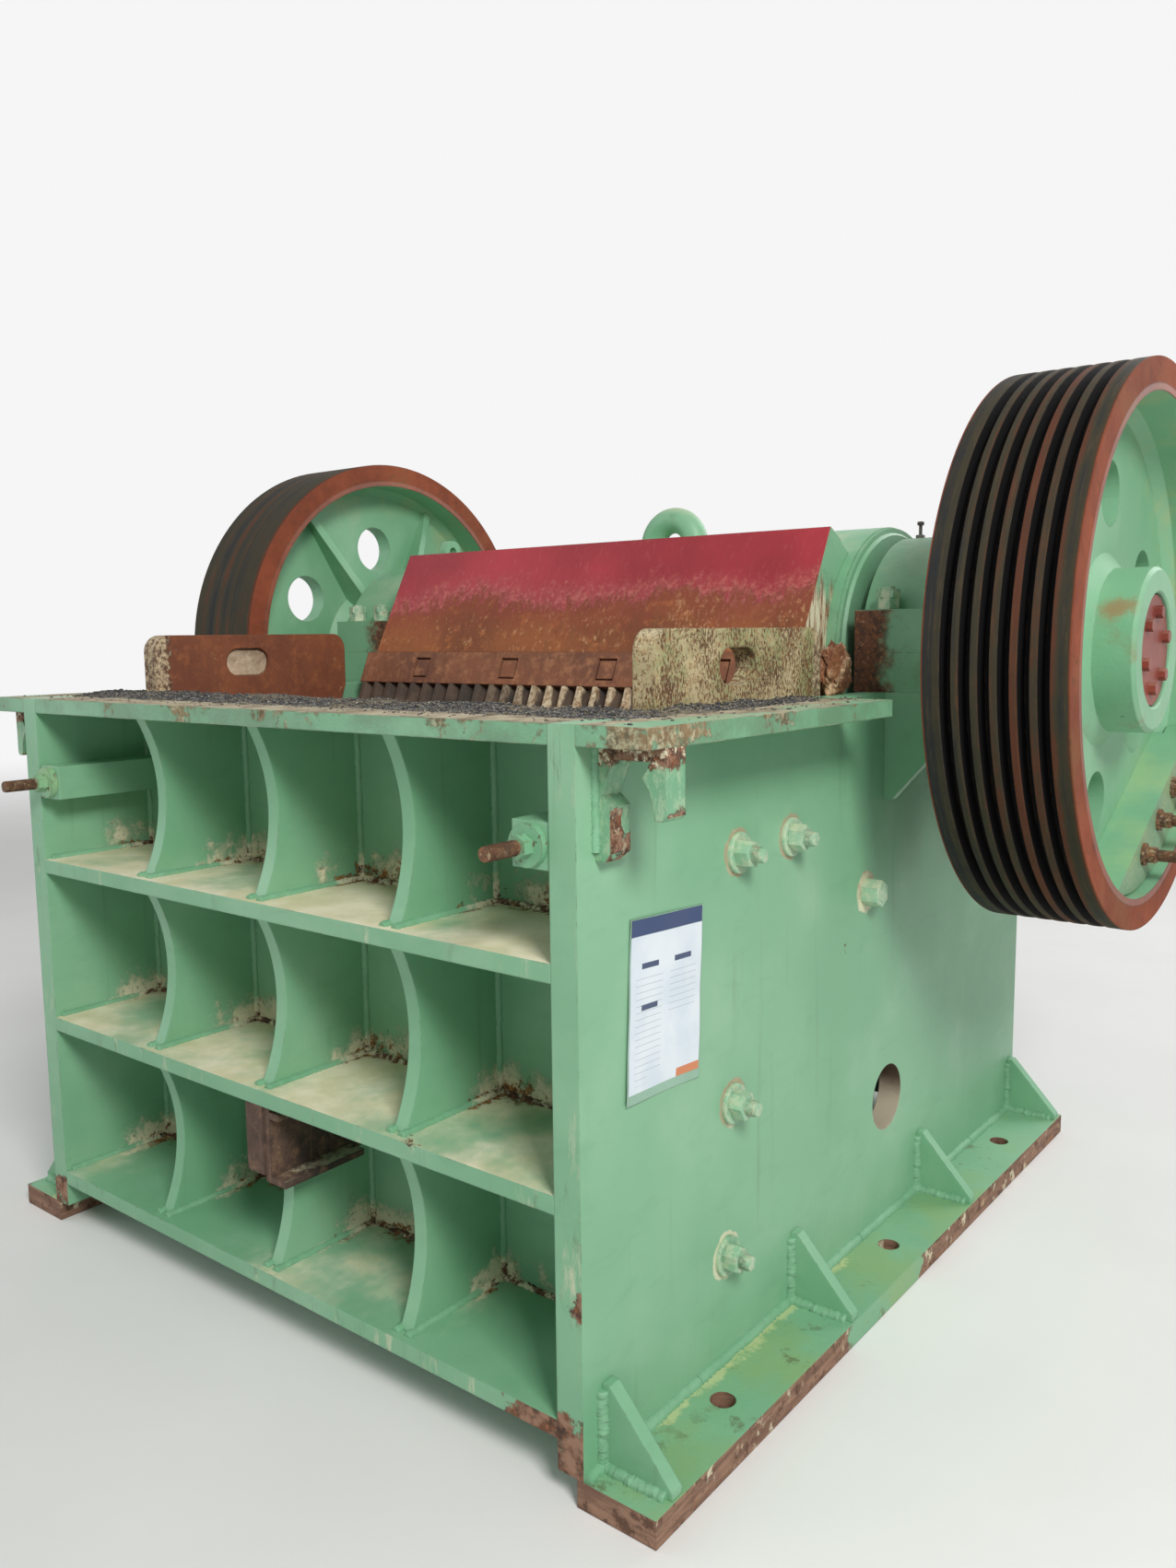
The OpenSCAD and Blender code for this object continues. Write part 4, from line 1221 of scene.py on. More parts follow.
@dataclass(frozen=True)
class GuardPaint:
    """Crimson paint on the upper guard, scraped to pink and then to rust below."""

    name: str
    line: float
    band: float = 0.03

    def bare(self, g: Graph) -> Socket:
        """Rust of the lower part, with pale scrapes.

        Args:
            g: The material's graph.

        Returns:
            The colour.
        """
        brown = g.mix(g.step(g.noise(2.6, 6), 0.34, 0.66), screen(108, 60, 36), screen(150, 88, 50))
        brown = g.mix(g.step(g.noise(30, 8, 0.7), 0.52, 0.7), brown, screen(174, 106, 60))
        wide = g.step(g.noise(1.0, 7, 0.7, g.stretched(36, 20, 4)), 0.54, 0.7)
        brown = g.mix(g.times(wide, 0.5), brown, screen(118, 78, 44))
        right = g.step(g.x, -0.35, 0.5)
        specks = g.scaled(right, 0.05, g.noise(1.0, 9, 0.8, g.stretched(70, 70, 30)))
        pale = g.times(g.step(specks, 0.58, 0.62), g.step(g.noise(3.2, 5), 0.34, 0.54))
        brown = g.mix(g.times(pale, 0.8), brown, screen(204, 158, 112))
        dark = g.step(g.noise(1.0, 9, 0.8, g.stretched(60, 60, 34)), 0.57, 0.62)
        return g.mix(g.times(dark, 0.5), brown, screen(92, 54, 34))

    def build(self) -> Material:
        """Makes the material.

        Returns:
            The material.
        """
        g = Graph(self.name)
        crimson = g.mix(g.step(g.noise(3, 5), 0.3, 0.7), screen(140, 26, 38), screen(172, 44, 56))
        scratch = g.step(g.noise(1.0, 7, 0.72, g.stretched(90, 60, 12)), 0.56, 0.68)
        crimson = g.mix(g.times(scratch, 0.35), crimson, screen(186, 92, 96))
        brown = self.bare(g)
        wave = g.scaled(g.minus(g.noise(2.4, 5, 0.55), 0.5), 0.20, g.z)
        fine = g.noise(1.0, 9, 0.8, g.stretched(46, 26, 22))
        wave = g.scaled(g.minus(fine, 0.5), 0.20, wave)
        paint = g.step(wave, self.line - self.band * 0.5, self.line + self.band * 0.5)
        fresh = g.step(wave, self.line, self.line + self.band * 2.0)
        tint = g.times(g.step(wave, self.line - self.band * 3.4, self.line), 0.55)
        brown = g.mix(tint, brown, screen(140, 60, 46))
        faded = g.mix(g.step(g.noise(75, 7, 0.74), 0.44, 0.62), screen(152, 54, 56), screen(188, 104, 94))
        colour = g.mix(paint, brown, g.mix(fresh, faded, crimson))
        face = g.step(g.size(g.nx), 0.7, 0.9)
        back = g.step(g.ny, 0.1, 0.4)
        green = mint(g, 4)
        drop = g.scaled(g.noise(1.0, 8, 0.7, g.stretched(60, 34, 5)), 0.24, g.z)
        streaked = g.mix(g.step(g.noise(1.0, 8, 0.7, g.stretched(90, 50, 7)), 0.44, 0.56), brown, CREAM)
        green = g.mix(g.step(drop, self.line + 0.16, self.line + 0.08), green, streaked)
        colour = g.mix(g.highest(face, back), colour, green)
        soft = g.rounded(0.004)
        edge = g.times(g.step(g.edges(soft), 0.015, 0.1), g.step(g.noise(30, 7, 0.7), 0.42, 0.52))
        colour = g.mix(g.times(edge, 0.6), colour, screen(150, 112, 88))
        relief = g.plus(g.noise(70, 7, 0.7), g.times(paint, 0.6))
        rough = g.scaled(paint, -0.3, 0.84)
        return g.finish(colour, rough, g.bump(relief, 0.0013, soft))


@dataclass(frozen=True)
class WheelPaint:
    """Green web and hub, red-brown rim sides and a dark, worn tread."""

    name: str
    plan: Plan
    bore: float
    radius: float
    sides: Pair
    grooved: bool

    def web(self, g: Graph, radius: Socket) -> Socket:
        """Green of the web and the hub, with oil and dirt.

        Args:
            g: The material's graph.
            radius: Distance from the shaft's axis.

        Returns:
            The colour.
        """
        green = mint(g, 3)
        green = g.mix(g.times(g.step(g.noise(5, 5, 0.55), 0.5, 0.74), 0.4), green, MINT_FADED)
        oil = g.times(g.near(radius, (0.18,), 0.07), g.step(g.noise(4.4, 5, 0.6), 0.54, 0.68))
        green = g.mix(g.times(oil, 0.7), green, screen(146, 100, 62))
        dust = g.times(g.step(radius, self.bore - 0.16, self.bore), g.step(g.noise(5, 7, 0.66), 0.46, 0.66))
        green = g.mix(g.times(dust, 0.5), green, screen(168, 172, 116))
        speck = g.times(g.step(g.noise(90, 5, 0.7), 0.63, 0.69), g.step(g.noise(5), 0.5, 0.66), 0.7)
        green = g.mix(speck, green, RUST_DARK)
        axis = self.plan.axis
        spot = g.step(g.away(axis[0] - 0.156, axis[1] + 0.09), 0.07, 0.0)
        spot = g.times(spot, g.near(g.x, (self.sides[1] - 0.045,), 0.075))
        spot = g.times(fuzzy(g, spot, 18, 0.3, 0.6), g.step(radius, 0.19, 0.182))
        return g.mix(g.times(spot, 0.75), green, screen(158, 116, 76))

    def tread(self, g: Graph, radius: Socket) -> Socket:
        """Dark tread with bands round it, and painted shade in the grooves: near black below the lands.

        Args:
            g: The material's graph.
            radius: Distance from the shaft's axis.

        Returns:
            The colour.
        """
        ring = g.node("ShaderNodeCombineXYZ", X=g.x, Y=g.times(radius, 0.2)).outputs[0]
        bands = g.scaled(g.noise(31, 2, 0.5, ring), 0.72, g.times(g.noise(6, 7, 0.65), 0.28))
        colour = g.mix(g.step(bands, 0.36, 0.5), screen(40, 42, 44), screen(58, 54, 42))
        colour = g.mix(g.step(bands, 0.5, 0.62), colour, screen(88, 52, 38))
        fine = g.noise(1.0, 7, 0.7, g.stretched(160, 12, 12))
        colour = g.mix(g.times(g.step(fine, 0.5, 0.68), 0.35), colour, screen(90, 76, 56))
        if self.grooved:
            # Painted shade: below the lands the grooves turn near black, as if no light reached them.
            deep = g.step(radius, self.radius - 0.0005, self.radius - 0.003)
            colour = g.mix(deep, colour, screen(12, 11, 12))
        return colour

    def build(self) -> Material:
        """Makes the material.

        Returns:
            The material.
        """
        g = Graph(self.name)
        radius = g.away(*self.plan.axis)
        side = g.mix(g.step(g.noise(6, 7, 0.65), 0.35, 0.7), screen(118, 62, 44), screen(150, 80, 54))
        side = g.mix(g.times(g.step(g.noise(3, 5), 0.5, 0.7), 0.6), side, screen(108, 82, 56))
        side = g.mix(g.times(g.step(g.noise(34, 8, 0.7), 0.56, 0.68), 0.6), side, screen(82, 64, 48))
        flank = g.step(g.near(g.size(g.x), self.sides, 0.004), 0.1, 0.4)
        rim = g.step(radius, self.bore - 0.004, self.bore + 0.001)
        outer = g.step(radius, self.bore + 0.012, self.bore + 0.018)
        colour = g.mix(outer, g.mix(g.times(rim, flank), self.web(g, radius), side), self.tread(g, radius))
        colour = g.mix(g.times(outer, flank), colour, side)
        soft = g.rounded(0.004)
        edge = g.times(g.step(g.edges(soft), 0.02, 0.12), g.step(g.noise(24, 7, 0.7), 0.46, 0.62))
        colour = g.mix(g.times(edge, 0.4), colour, screen(104, 78, 58))
        rough = g.scaled(edge, 0.1, g.scaled(outer, 0.3, 0.46))
        g.put(g.shader.inputs["Specular IOR Level"], g.scaled(outer, -0.34, 0.5))
        relief = g.plus(g.noise(100, 7, 0.7), g.times(edge, 0.5))
        return g.finish(colour, rough, g.bump(relief, 0.0010, soft))


@dataclass(frozen=True)
class OldSteel:
    """Greasy bare steel, darkened and spotted with rust."""

    name: str
    tone: Rgb = (0.13, 0.12, 0.11)
    rust: float = 0.6
    metal: float = 0.6

    def build(self) -> Material:
        """Makes the material.

        Returns:
            The material.
        """
        g = Graph(self.name)
        light = tuple(min(1.0, c * 2.0) for c in self.tone)
        colour = g.mix(g.step(g.noise(14, 6), 0.35, 0.7), self.tone, light)
        spots = g.times(g.step(g.noise(26, 8, 0.7), 0.48, 0.6), self.rust)
        colour = g.mix(spots, colour, rusty(g))
        soft = g.rounded(0.002)
        shine = g.scaled(spots, -self.metal, self.metal)
        rough = g.scaled(spots, 0.45, 0.4)
        return g.finish(colour, rough, g.bump(g.noise(150, 6, 0.7), 0.0007, soft), shine)


@dataclass(frozen=True)
class SmallPaint:
    """Brush paint on castings and bolts, with patches of grime and rust on the edges."""

    name: str
    colour: Rgb = MINT
    pale: Rgb = MINT_PALE
    wear: float = 0.25
    crusted: float = 0.0
    rot: Triple = (0.0, 0.0, 0.0)

    def build(self) -> Material:
        """Makes the material.

        Returns:
            The material.
        """
        g = Graph(self.name)
        colour = g.mix(g.step(g.noise(5, 6), 0.3, 0.7), self.colour, self.pale)
        colour = g.mix(g.times(g.step(g.noise(9, 7, 0.6), 0.54, 0.74), 0.35), colour, GRIME)
        soft = g.rounded(0.0025)
        edge = g.times(g.step(g.edges(soft), 0.02, 0.14), g.step(g.noise(60, 7, 0.7), 0.46, 0.6))
        line = 0.74 - 0.24 * self.wear
        patch = g.step(g.noise(24, 9, 0.72), line, line + 0.03)
        bare = g.highest(g.times(edge, 0.7), g.times(patch, min(1.0, self.wear * 2)))
        if self.rot[2]:
            near = g.step(g.size(g.x), self.rot[0], self.rot[1])
            under = g.step(g.z, self.rot[2], self.rot[2] - 0.006)
            bare = g.highest(bare, g.times(under, fuzzy(g, near, 20, 0.3, 0.5)))
        colour = g.mix(bare, colour, g.mix(g.step(g.noise(55, 8, 0.72), 0.56, 0.64), rusty(g), STAIN))
        if self.crusted:
            crust = g.times(g.step(g.noise(58, 8, 0.7), 0.46, 0.56), self.crusted)
            colour = g.mix(crust, colour, CREAM)
        up = g.times(g.step(g.nz, 0.4, 0.95), g.step(g.noise(5, 9, 0.66), 0.4, 0.7), 0.4)
        colour = g.mix(up, colour, DUST)
        rough = g.scaled(g.highest(bare, up), 0.38, 0.44)
        return g.finish(colour, rough, g.bump(g.noise(130, 6, 0.7), 0.0009, soft))


@dataclass(frozen=True)
class SeamPaint:
    """Paint on weld beads, crusted and rusty where they run low in the back of the cells."""

    name: str
    plan: Plan

    def build(self) -> Material:
        """Makes the material.

        Returns:
            The material.
        """
        g = Graph(self.name)
        plan = self.plan
        colour = mint(g, 8, 6)
        back = g.near(g.y, (plan.front_wall, plan.rear_wall), 0.2)
        low = g.times(g.above(g.z, plan.levels, 0.12), back)
        crust = fuzzy(g, low, 21, 0.55, 0.3)
        colour = g.mix(crust, colour, CREAM)
        rot = fuzzy(g, low, 33, 0.85, 0.2)
        colour = g.mix(rot, colour, rusty(g))
        rough = g.scaled(g.highest(crust, rot), 0.4, 0.46)
        return g.finish(colour, rough, g.bump(g.noise(240, 6, 0.7), 0.0010, g.rounded(0.002)))


@dataclass(frozen=True)
class StudPaint:
    """Painted washers and plates that carry bare, rusty studs."""

    name: str
    axis: str
    start: float
    chips: float = 0.0

    def build(self) -> Material:
        """Makes the material.

        Returns:
            The material.
        """
        g = Graph(self.name)
        colour = mint(g, 3, 5)
        yellow = g.times(g.step(g.noise(5, 6, 0.6), 0.45, 0.68), 0.45)
        colour = g.mix(yellow, colour, screen(170, 196, 134))
        chips = g.times(g.step(g.noise(48, 9, 0.72), 0.57, 0.61), self.chips)
        colour = g.mix(chips, colour, rusty(g))
        reach = g.size(g.x) if self.axis == "X" else g.times(g.y, -1.0)
        bare = g.step(reach, self.start - 0.0008, self.start + 0.0008)
        steel = g.mix(g.step(g.noise(60, 7, 0.7), 0.4, 0.62), screen(80, 58, 42), screen(128, 86, 56))
        steel = g.mix(g.times(g.step(g.noise(110, 7, 0.7), 0.52, 0.6), 0.6), steel, screen(186, 168, 132))
        colour = g.mix(bare, colour, steel)
        soft = g.rounded(0.003)
        edge = g.times(g.step(g.edges(soft), 0.02, 0.12), g.step(g.noise(40, 8, 0.7), 0.42, 0.54))
        colour = g.mix(g.times(edge, self.chips), colour, screen(104, 88, 64))
        rough = g.scaled(g.highest(bare, chips), 0.3, 0.46)
        return g.finish(colour, rough, g.bump(g.noise(170, 6, 0.7), 0.0009, g.rounded(0.0015)))


@dataclass(frozen=True)
class Grit:
    """Crushed stone, mostly dark, with some tan and pale chips."""

    name: str

    def build(self) -> Material:
        """Makes the material.

        Returns:
            The material.
        """
        g = Graph(self.name)
        cell = g.node("ShaderNodeTexVoronoi", Vector=g.place, Scale=330.0).outputs["Color"]
        parts = g.node("ShaderNodeSeparateColor", Color=cell)
        colour = g.mix(parts.outputs["Red"], screen(34, 34, 37), screen(82, 82, 82))
        colour = g.mix(g.step(parts.outputs["Green"], 0.84, 0.86), colour, screen(132, 122, 100))
        colour = g.mix(g.step(parts.outputs["Blue"], 0.96, 0.97), colour, screen(178, 176, 166))
        dusty = g.times(g.step(g.noise(5, 8, 0.68), 0.5, 0.66), 0.6)
        colour = g.mix(dusty, colour, screen(136, 124, 100))
        return g.finish(colour, 0.8, g.bump(g.noise(520, 5, 0.7), 0.0012))


@dataclass(frozen=True)
class Paper:
    """A blank printed form: head band, empty boxes, faint ruled lines and a foot mark."""

    name: str

    def box(self, g: Graph, across: Socket, up: Socket, low: Pair, high: Pair) -> Socket:
        """Marks an upright box on the sheet.

        Args:
            g: The material's graph.
            across: Place across the sheet, 0 to 1.
            up: Place up the sheet, 0 to 1.
            low: The box's lower left corner.
            high: Its upper right corner.

        Returns:
            The mark.
        """
        wide = g.times(g.step(across, low[0] - 0.004, low[0]), g.step(across, high[0] + 0.004, high[0]))
        return g.times(wide, g.step(up, low[1] - 0.003, low[1]), g.step(up, high[1] + 0.003, high[1]))

    def build(self) -> Material:
        """Makes the material.

        Returns:
            The material.
        """
        g = Graph(self.name)
        chart = g.tree.nodes.new("ShaderNodeUVMap").outputs[0]
        parts = g.node("ShaderNodeSeparateXYZ", Vector=chart)
        across, up = parts.outputs[0], parts.outputs[1]
        colour = g.mix(g.step(g.noise(14, 4), 0.3, 0.7), screen(208, 220, 230), screen(222, 230, 236))
        lines = g.step(g.math("PINGPONG", g.times(up, 26.0), 0.5), 0.09, 0.03)
        ruled = (((0.08, 0.10), (0.44, 0.68)), ((0.54, 0.42), (0.92, 0.68)), ((0.08, 0.04), (0.24, 0.08)))
        for low, high in ruled:
            area = self.box(g, across, up, low, high)
            colour = g.mix(g.times(lines, area, 0.45), colour, screen(132, 142, 154))
        heads = (((0.16, 0.71), (0.38, 0.74)), ((0.60, 0.71), (0.84, 0.74)), ((0.16, 0.47), (0.38, 0.50)))
        for low, high in heads:
            colour = g.mix(self.box(g, across, up, low, high), colour, screen(62, 76, 108))
        colour = g.mix(self.box(g, across, up, (0.68, 0.0), (1.0, 0.05)), colour, screen(206, 128, 84))
        colour = g.mix(g.step(up, 0.900, 0.906), colour, screen(46, 66, 108))
        return g.finish(colour, 0.3, g.bump(g.noise(9, 3), 0.0012))


@dataclass
class WallBolts:
    """Fasteners of the cheek plates and the front wall, on the outside of both side walls."""

    plan: Plan
    studs: tuple[Pair, ...] = ((0.479, 1.033), (0.679, 1.035), (0.463, 0.554), (0.442, 0.258))
    head: Pair = (1.027, 0.862)
    washer: Pair = (0.039, 0.009)
    nut: Pair = (0.0275, 0.027)
    rod: Pair = (0.0150, 0.058)
    hex_head: Pair = (0.031, 0.040)

    def places(self) -> tuple[Pair, ...]:
        """Places of all of them, as y and z in the frame."""
        return tuple((self.plan.back(y), z) for y, z in (*self.studs, self.head))

    def stud(self) -> Bench:
        """Models a washer, a nut and a threaded end along Z.

        Returns:
            The bench that holds it.
        """
        wide, thick = self.washer
        washer = Bench.disc("washer", wide, 0.0, thick, 48).rim(thick, 0.0025, 3)
        washer.caps()
        bpy.ops.mesh.inset(thickness=0.006, depth=-0.0012)
        washer.done()
        across, high = self.nut
        nut = Bench.disc("nut", across, thick - 0.001, thick + high, 6).rim(thick + high, 0.0028, 2)
        nut.caps()
        bpy.ops.mesh.inset(thickness=0.004, depth=0.0)
        bpy.ops.mesh.inset(thickness=0.0035, depth=-0.0015)
        nut.done()
        radius, top = self.rod
        rod = Bench.disc("rod", radius - 0.0012, thick, top, 32).rim(top, 0.0022, 2)
        ridge = thread("ridge", radius - 0.0014, 0.0032, top - thick - high - 0.003)
        ridge.piece.data.transform(Matrix.Translation((0.0, 0.0, thick + high)))
        whole = join("stud_bolt", [washer.piece, nut.piece, rod.piece, ridge.piece])
        bpy.context.view_layer.objects.active = whole
        bench = Bench("stud_bolt")
        return bench.smooth(30)

    def hexagon(self) -> Bench:
        """Models a tall hexagon head with a collar along Z.

        Returns:
            The bench that holds it.
        """
        across, high = self.hex_head
        bench = Bench.disc("hex_bolt", across, 0.0, high, 6).rim(high, 0.004, 3)
        bench.caps()
        bpy.ops.mesh.inset(thickness=0.006, depth=0.0)
        bpy.ops.mesh.extrude_region_move(TRANSFORM_OT_translate={"value": (0.0, 0.0, 0.0012)})
        bench.done()
        return bench.smooth(30)

    def build(self, material: Material) -> None:
        """Places the fasteners on both walls.

        Args:
            material: Their finish.
        """
        stud, head = self.stud(), self.hexagon()
        for side, sign in SIDES:
            wall = sign * (self.plan.wall_out - 0.0003)
            for number, (y, z) in enumerate(self.studs):
                spin = Matrix.Rotation(0.35 + 0.6 * number, 4, "Z")
                place = along((sign, 0.0, 0.0), (wall, self.plan.back(y), z)) @ spin
                dress(stud.copy(f"wall_stud_{side}_{number + 1}", place), material, "frame")
            y, z = self.head
            place = along((sign, 0.0, 0.0), (wall, self.plan.back(y), z))
            dress(head.copy(f"wall_bolt_{side}", place), material, "frame")
        stud.clear()
        head.clear()


@dataclass
class StudThreads:
    """Screw threads on the clamp studs, the return rods and the counterweight studs."""

    plan: Plan
    clamp: Point = (0.745, -0.1055, 1.107)
    rod: Point = (0.19625, 2.0355, 0.215)
    weight_turn: float = 297.0
    weight_in: float = 0.449
    weight_pitch: float = 0.140
    weight_out: float = 1.332
    clamp_ridge: Triple = (0.0118, 0.0032, 0.069)
    rod_ridge: Triple = (0.0198, 0.0042, 0.041)
    weight_ridge: Triple = (0.0128, 0.0032, 0.064)

    def build(self, rust: Material, steel: Material) -> None:
        """Models the three ridges and places them.

        Args:
            rust: Finish of the clamp and counterweight studs.
            steel: Finish of the return rods.
        """
        plan = self.plan
        clamp = thread("clamp_ridge", *self.clamp_ridge)
        rod = thread("rod_ridge", *self.rod_ridge)
        weight = thread("weight_ridge", *self.weight_ridge)
        for side, sign in SIDES:
            x, y, z = self.clamp
            place = along(BACKWARD, (sign * x, plan.back(y), z))
            dress(clamp.copy(f"clamp_thread_{side}", place), rust, "frame")
            x, y, z = self.rod
            place = along(BACKWARD, (sign * x, plan.back(y), z))
            dress(rod.copy(f"rod_thread_{side}", place), steel, "swing_jaw")
            turn = math.radians(self.weight_turn)
            for step in (-1, 0, 1):
                out, over = self.weight_in, step * self.weight_pitch
                y = plan.axis[0] + out * math.cos(turn) - over * math.sin(turn)
                z = plan.axis[1] + out * math.sin(turn) + over * math.cos(turn)
                place = along((sign, 0.0, 0.0), (sign * self.weight_out, y, z))
                name = f"weight_thread_{side}_{step + 2}"
                dress(weight.copy(name, place), rust, "rotor")
        for bench in (clamp, rod, weight):
            bench.clear()


@dataclass
class ReturnSprings:
    """Coil springs behind the rear wall, wound between flat end washers."""

    plan: Plan
    place: Pair = (0.19625, 0.215)
    length: float = 0.170
    washer: Triple = (0.065, 0.043, 0.012)
    coil: float = 0.054
    wire: float = 0.0095
    turns: int = 7
    crowding: float = 0.055

    def spring(self) -> Bench:
        """Winds the coil along Z, with its end turns lying closer together.

        Returns:
            The bench that holds it.
        """
        thick = self.washer[2]
        run = self.length - 2 * thick - 2 * self.wire
        bpy.ops.mesh.primitive_circle_add(
            vertices=14,
            radius=self.wire,
            location=(self.coil, 0.0, 0.0),
            rotation=(math.pi / 2, 0.0, 0.0),
        )
        bench = Bench("coil")
        lift = run / self.turns
        bench.modify("SCREW", axis="Z", screw_offset=lift, iterations=self.turns, steps=40, render_steps=40)
        bench.pick(Pick.EDGES, lambda _, __: False)
        bpy.ops.mesh.select_non_manifold(extend=False)
        bpy.ops.mesh.edge_face_add()
        bench.done().outward()
        for point in bench.piece.data.vertices:
            turned = 2 * math.pi * share(point.co.z / run)
            point.co.z += thick + self.wire - self.crowding * run * math.sin(turned)
        return bench.smooth(60)

    def build(self, material: Material) -> None:
        """Places both springs with their washers.

        Args:
            material: Their finish.
        """
        outer, inner, thick = self.washer
        coil = self.spring()
        ring = Bench.disc("end_washer", outer, 0.0, thick, 48).bore(inner, outer)
        ring.rim(thick, 0.0015).rim(0.0, 0.0015).outward().smooth(35)
        x, z = self.place
        for side, sign in SIDES:
            parts = [coil.copy("turns", along(BACKWARD, (sign * x, self.plan.rear_wall, z)))]
            for start in (0.0, self.length - thick):
                place = along(BACKWARD, (sign * x, self.plan.rear_wall + start, z))
                parts.append(ring.copy("washer", place))
            whole = join(f"return_spring_{side}", parts)
            dress(whole, material, "frame")
            if sign > 0:
                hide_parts("return_springs")
        coil.clear()
        ring.clear()


@dataclass
class WeldSeams:
    """Weld beads in the corners of the cells, at the feet, under the deck and at the hooks."""

    plan: Plan
    length: float = 0.36
    radius: float = 0.0100
    foot_grow: float = 1.45
    rings: int = 46
    gussets: int = 4
    gusset_half: float = 0.014
    gusset_reach: float = 0.13
    strip_start: float = 0.12
    hook_seam: float = 0.17
    edge_gap: float = 0.014

    def bead(self) -> Bench:
        """Models one rippled bead along Z from the origin.

        Returns:
            The bench that holds it.
        """
        bench = Bench.disc("bead", self.radius, 0.0, self.length, 8)
        bench.pick(Pick.EDGES, lambda _, d: abs(d.z) > 0.9)
        bpy.ops.mesh.subdivide(number_cuts=self.rings)
        bench.done()
        step = self.length / (self.rings + 1)
        bench.pick(Pick.POINTS, lambda p, _: round(p.z / step) % 2 == 1)
        bpy.ops.transform.resize(value=(0.84, 0.84, 1.0), center_override=(0.0, 0.0, 0.0))
        bench.done()
        bench.pick(Pick.POINTS, lambda p, _: 1e-4 < p.z < self.length - 1e-4)
        bpy.ops.transform.vertex_random(offset=0.0022, seed=5)
        bench.done()
        return bench.smooth(70)

    def run(self, bench: Bench, start: Point, end: Point, fat: float) -> list[Piece]:
        """Lays beads end to end along a seam.

        Args:
            bench: The bead's model.
            start: The seam's start.
            end: The seam's end.
            fat: How much thicker they are than the model.

        Returns:
            The beads.
        """
        first, last = Vector(start), Vector(end)
        whole = (last - first).length
        count = max(1, round(whole / self.length))
        laid = []
        for number in range(count):
            place = along(tuple(last - first), tuple(first.lerp(last, number / count)))
            grow = Matrix.Diagonal((fat, fat, whole / count / self.length, 1.0))
            laid.append(bench.copy("bead", place @ grow))
        return laid

    def cell_seams(self, wall: float, edge: float, top: float) -> list[tuple[Point, Point]]:
        """Seams of all the cells on one side of a wall plate.

        Args:
            wall: The wall plate's face.
            edge: Where the side seams end.
            top: The underside of the topmost plate over the cells.

        Returns:
            Starts and ends.
        """
        plan, seams = self.plan, []
        ceilings = [level - plan.shelf for level in plan.levels[1:]] + [top]
        for floor, ceiling in zip(plan.levels, ceilings):
            for column in range(plan.cells):
                left = -plan.wall_in + column * plan.pitch + (plan.rib / 2 if column else 0.0)
                right = -plan.wall_in + (column + 1) * plan.pitch
                right -= plan.rib / 2 if column < plan.cells - 1 else 0.0
                seams.append(((left, wall, floor), (right, wall, floor)))
                for x in (left, right):
                    seams.append(((x, wall, floor), (x, wall, ceiling)))
                    seams.append(((x, wall, floor), (x, edge, floor)))
        return seams

    def build(self, material: Material) -> None:
        """Lays every group of seams.

        Args:
            material: Their finish.
        """
        plan = self.plan
        bead = self.bead()
        front = self.cell_seams(plan.front_wall, plan.front + self.edge_gap, plan.under_deck)
        rear_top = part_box("rear_shelves")[1][2] - plan.shelf
        rear = self.cell_seams(plan.rear_wall, plan.rear - self.edge_gap, rear_top)
        rear = [seam for seam in rear if max(seam[0][2], seam[1][2]) <= rear_top + 1e-6]
        feet, deck = [], []
        gusset_low, gusset_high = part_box("foot_gussets")
        first, last = gusset_low[1] + self.gusset_half, gusset_high[1] - self.gusset_half
        top = gusset_high[2]
        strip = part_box("deck_sides")
        under = strip[0][2]
        for sign in (1.0, -1.0):
            wall = sign * plan.wall_out
            feet.append(((wall, plan.front + 0.004, plan.foot), (wall, plan.rear - 0.004, plan.foot)))
            for number in range(self.gussets):
                middle = first + (last - first) * number / (self.gussets - 1)
                for y in (middle - self.gusset_half, middle + self.gusset_half):
                    feet.append(((wall, y, plan.foot), (wall, y, top - 0.01)))
                    feet.append(((wall, y, plan.foot), (wall + sign * self.gusset_reach, y, plan.foot)))
            start = plan.front + self.strip_start
            deck.append(((wall, start, under), (wall, strip[1][1] - 0.01, under)))
            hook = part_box("lifting_hooks")
            for y in (hook[0][1], hook[1][1]):
                deck.append(((wall, y, under - self.hook_seam), (wall, y, under)))
        for name, seams in (("front", front), ("rear", rear), ("foot", feet), ("deck", deck)):
            fat = self.foot_grow if name == "foot" else 1.0
            laid = [part for start, end in seams for part in self.run(bead, start, end, fat)]
            dress(join(f"{name}_weld_beads", laid), material, "frame")
        bead.clear()


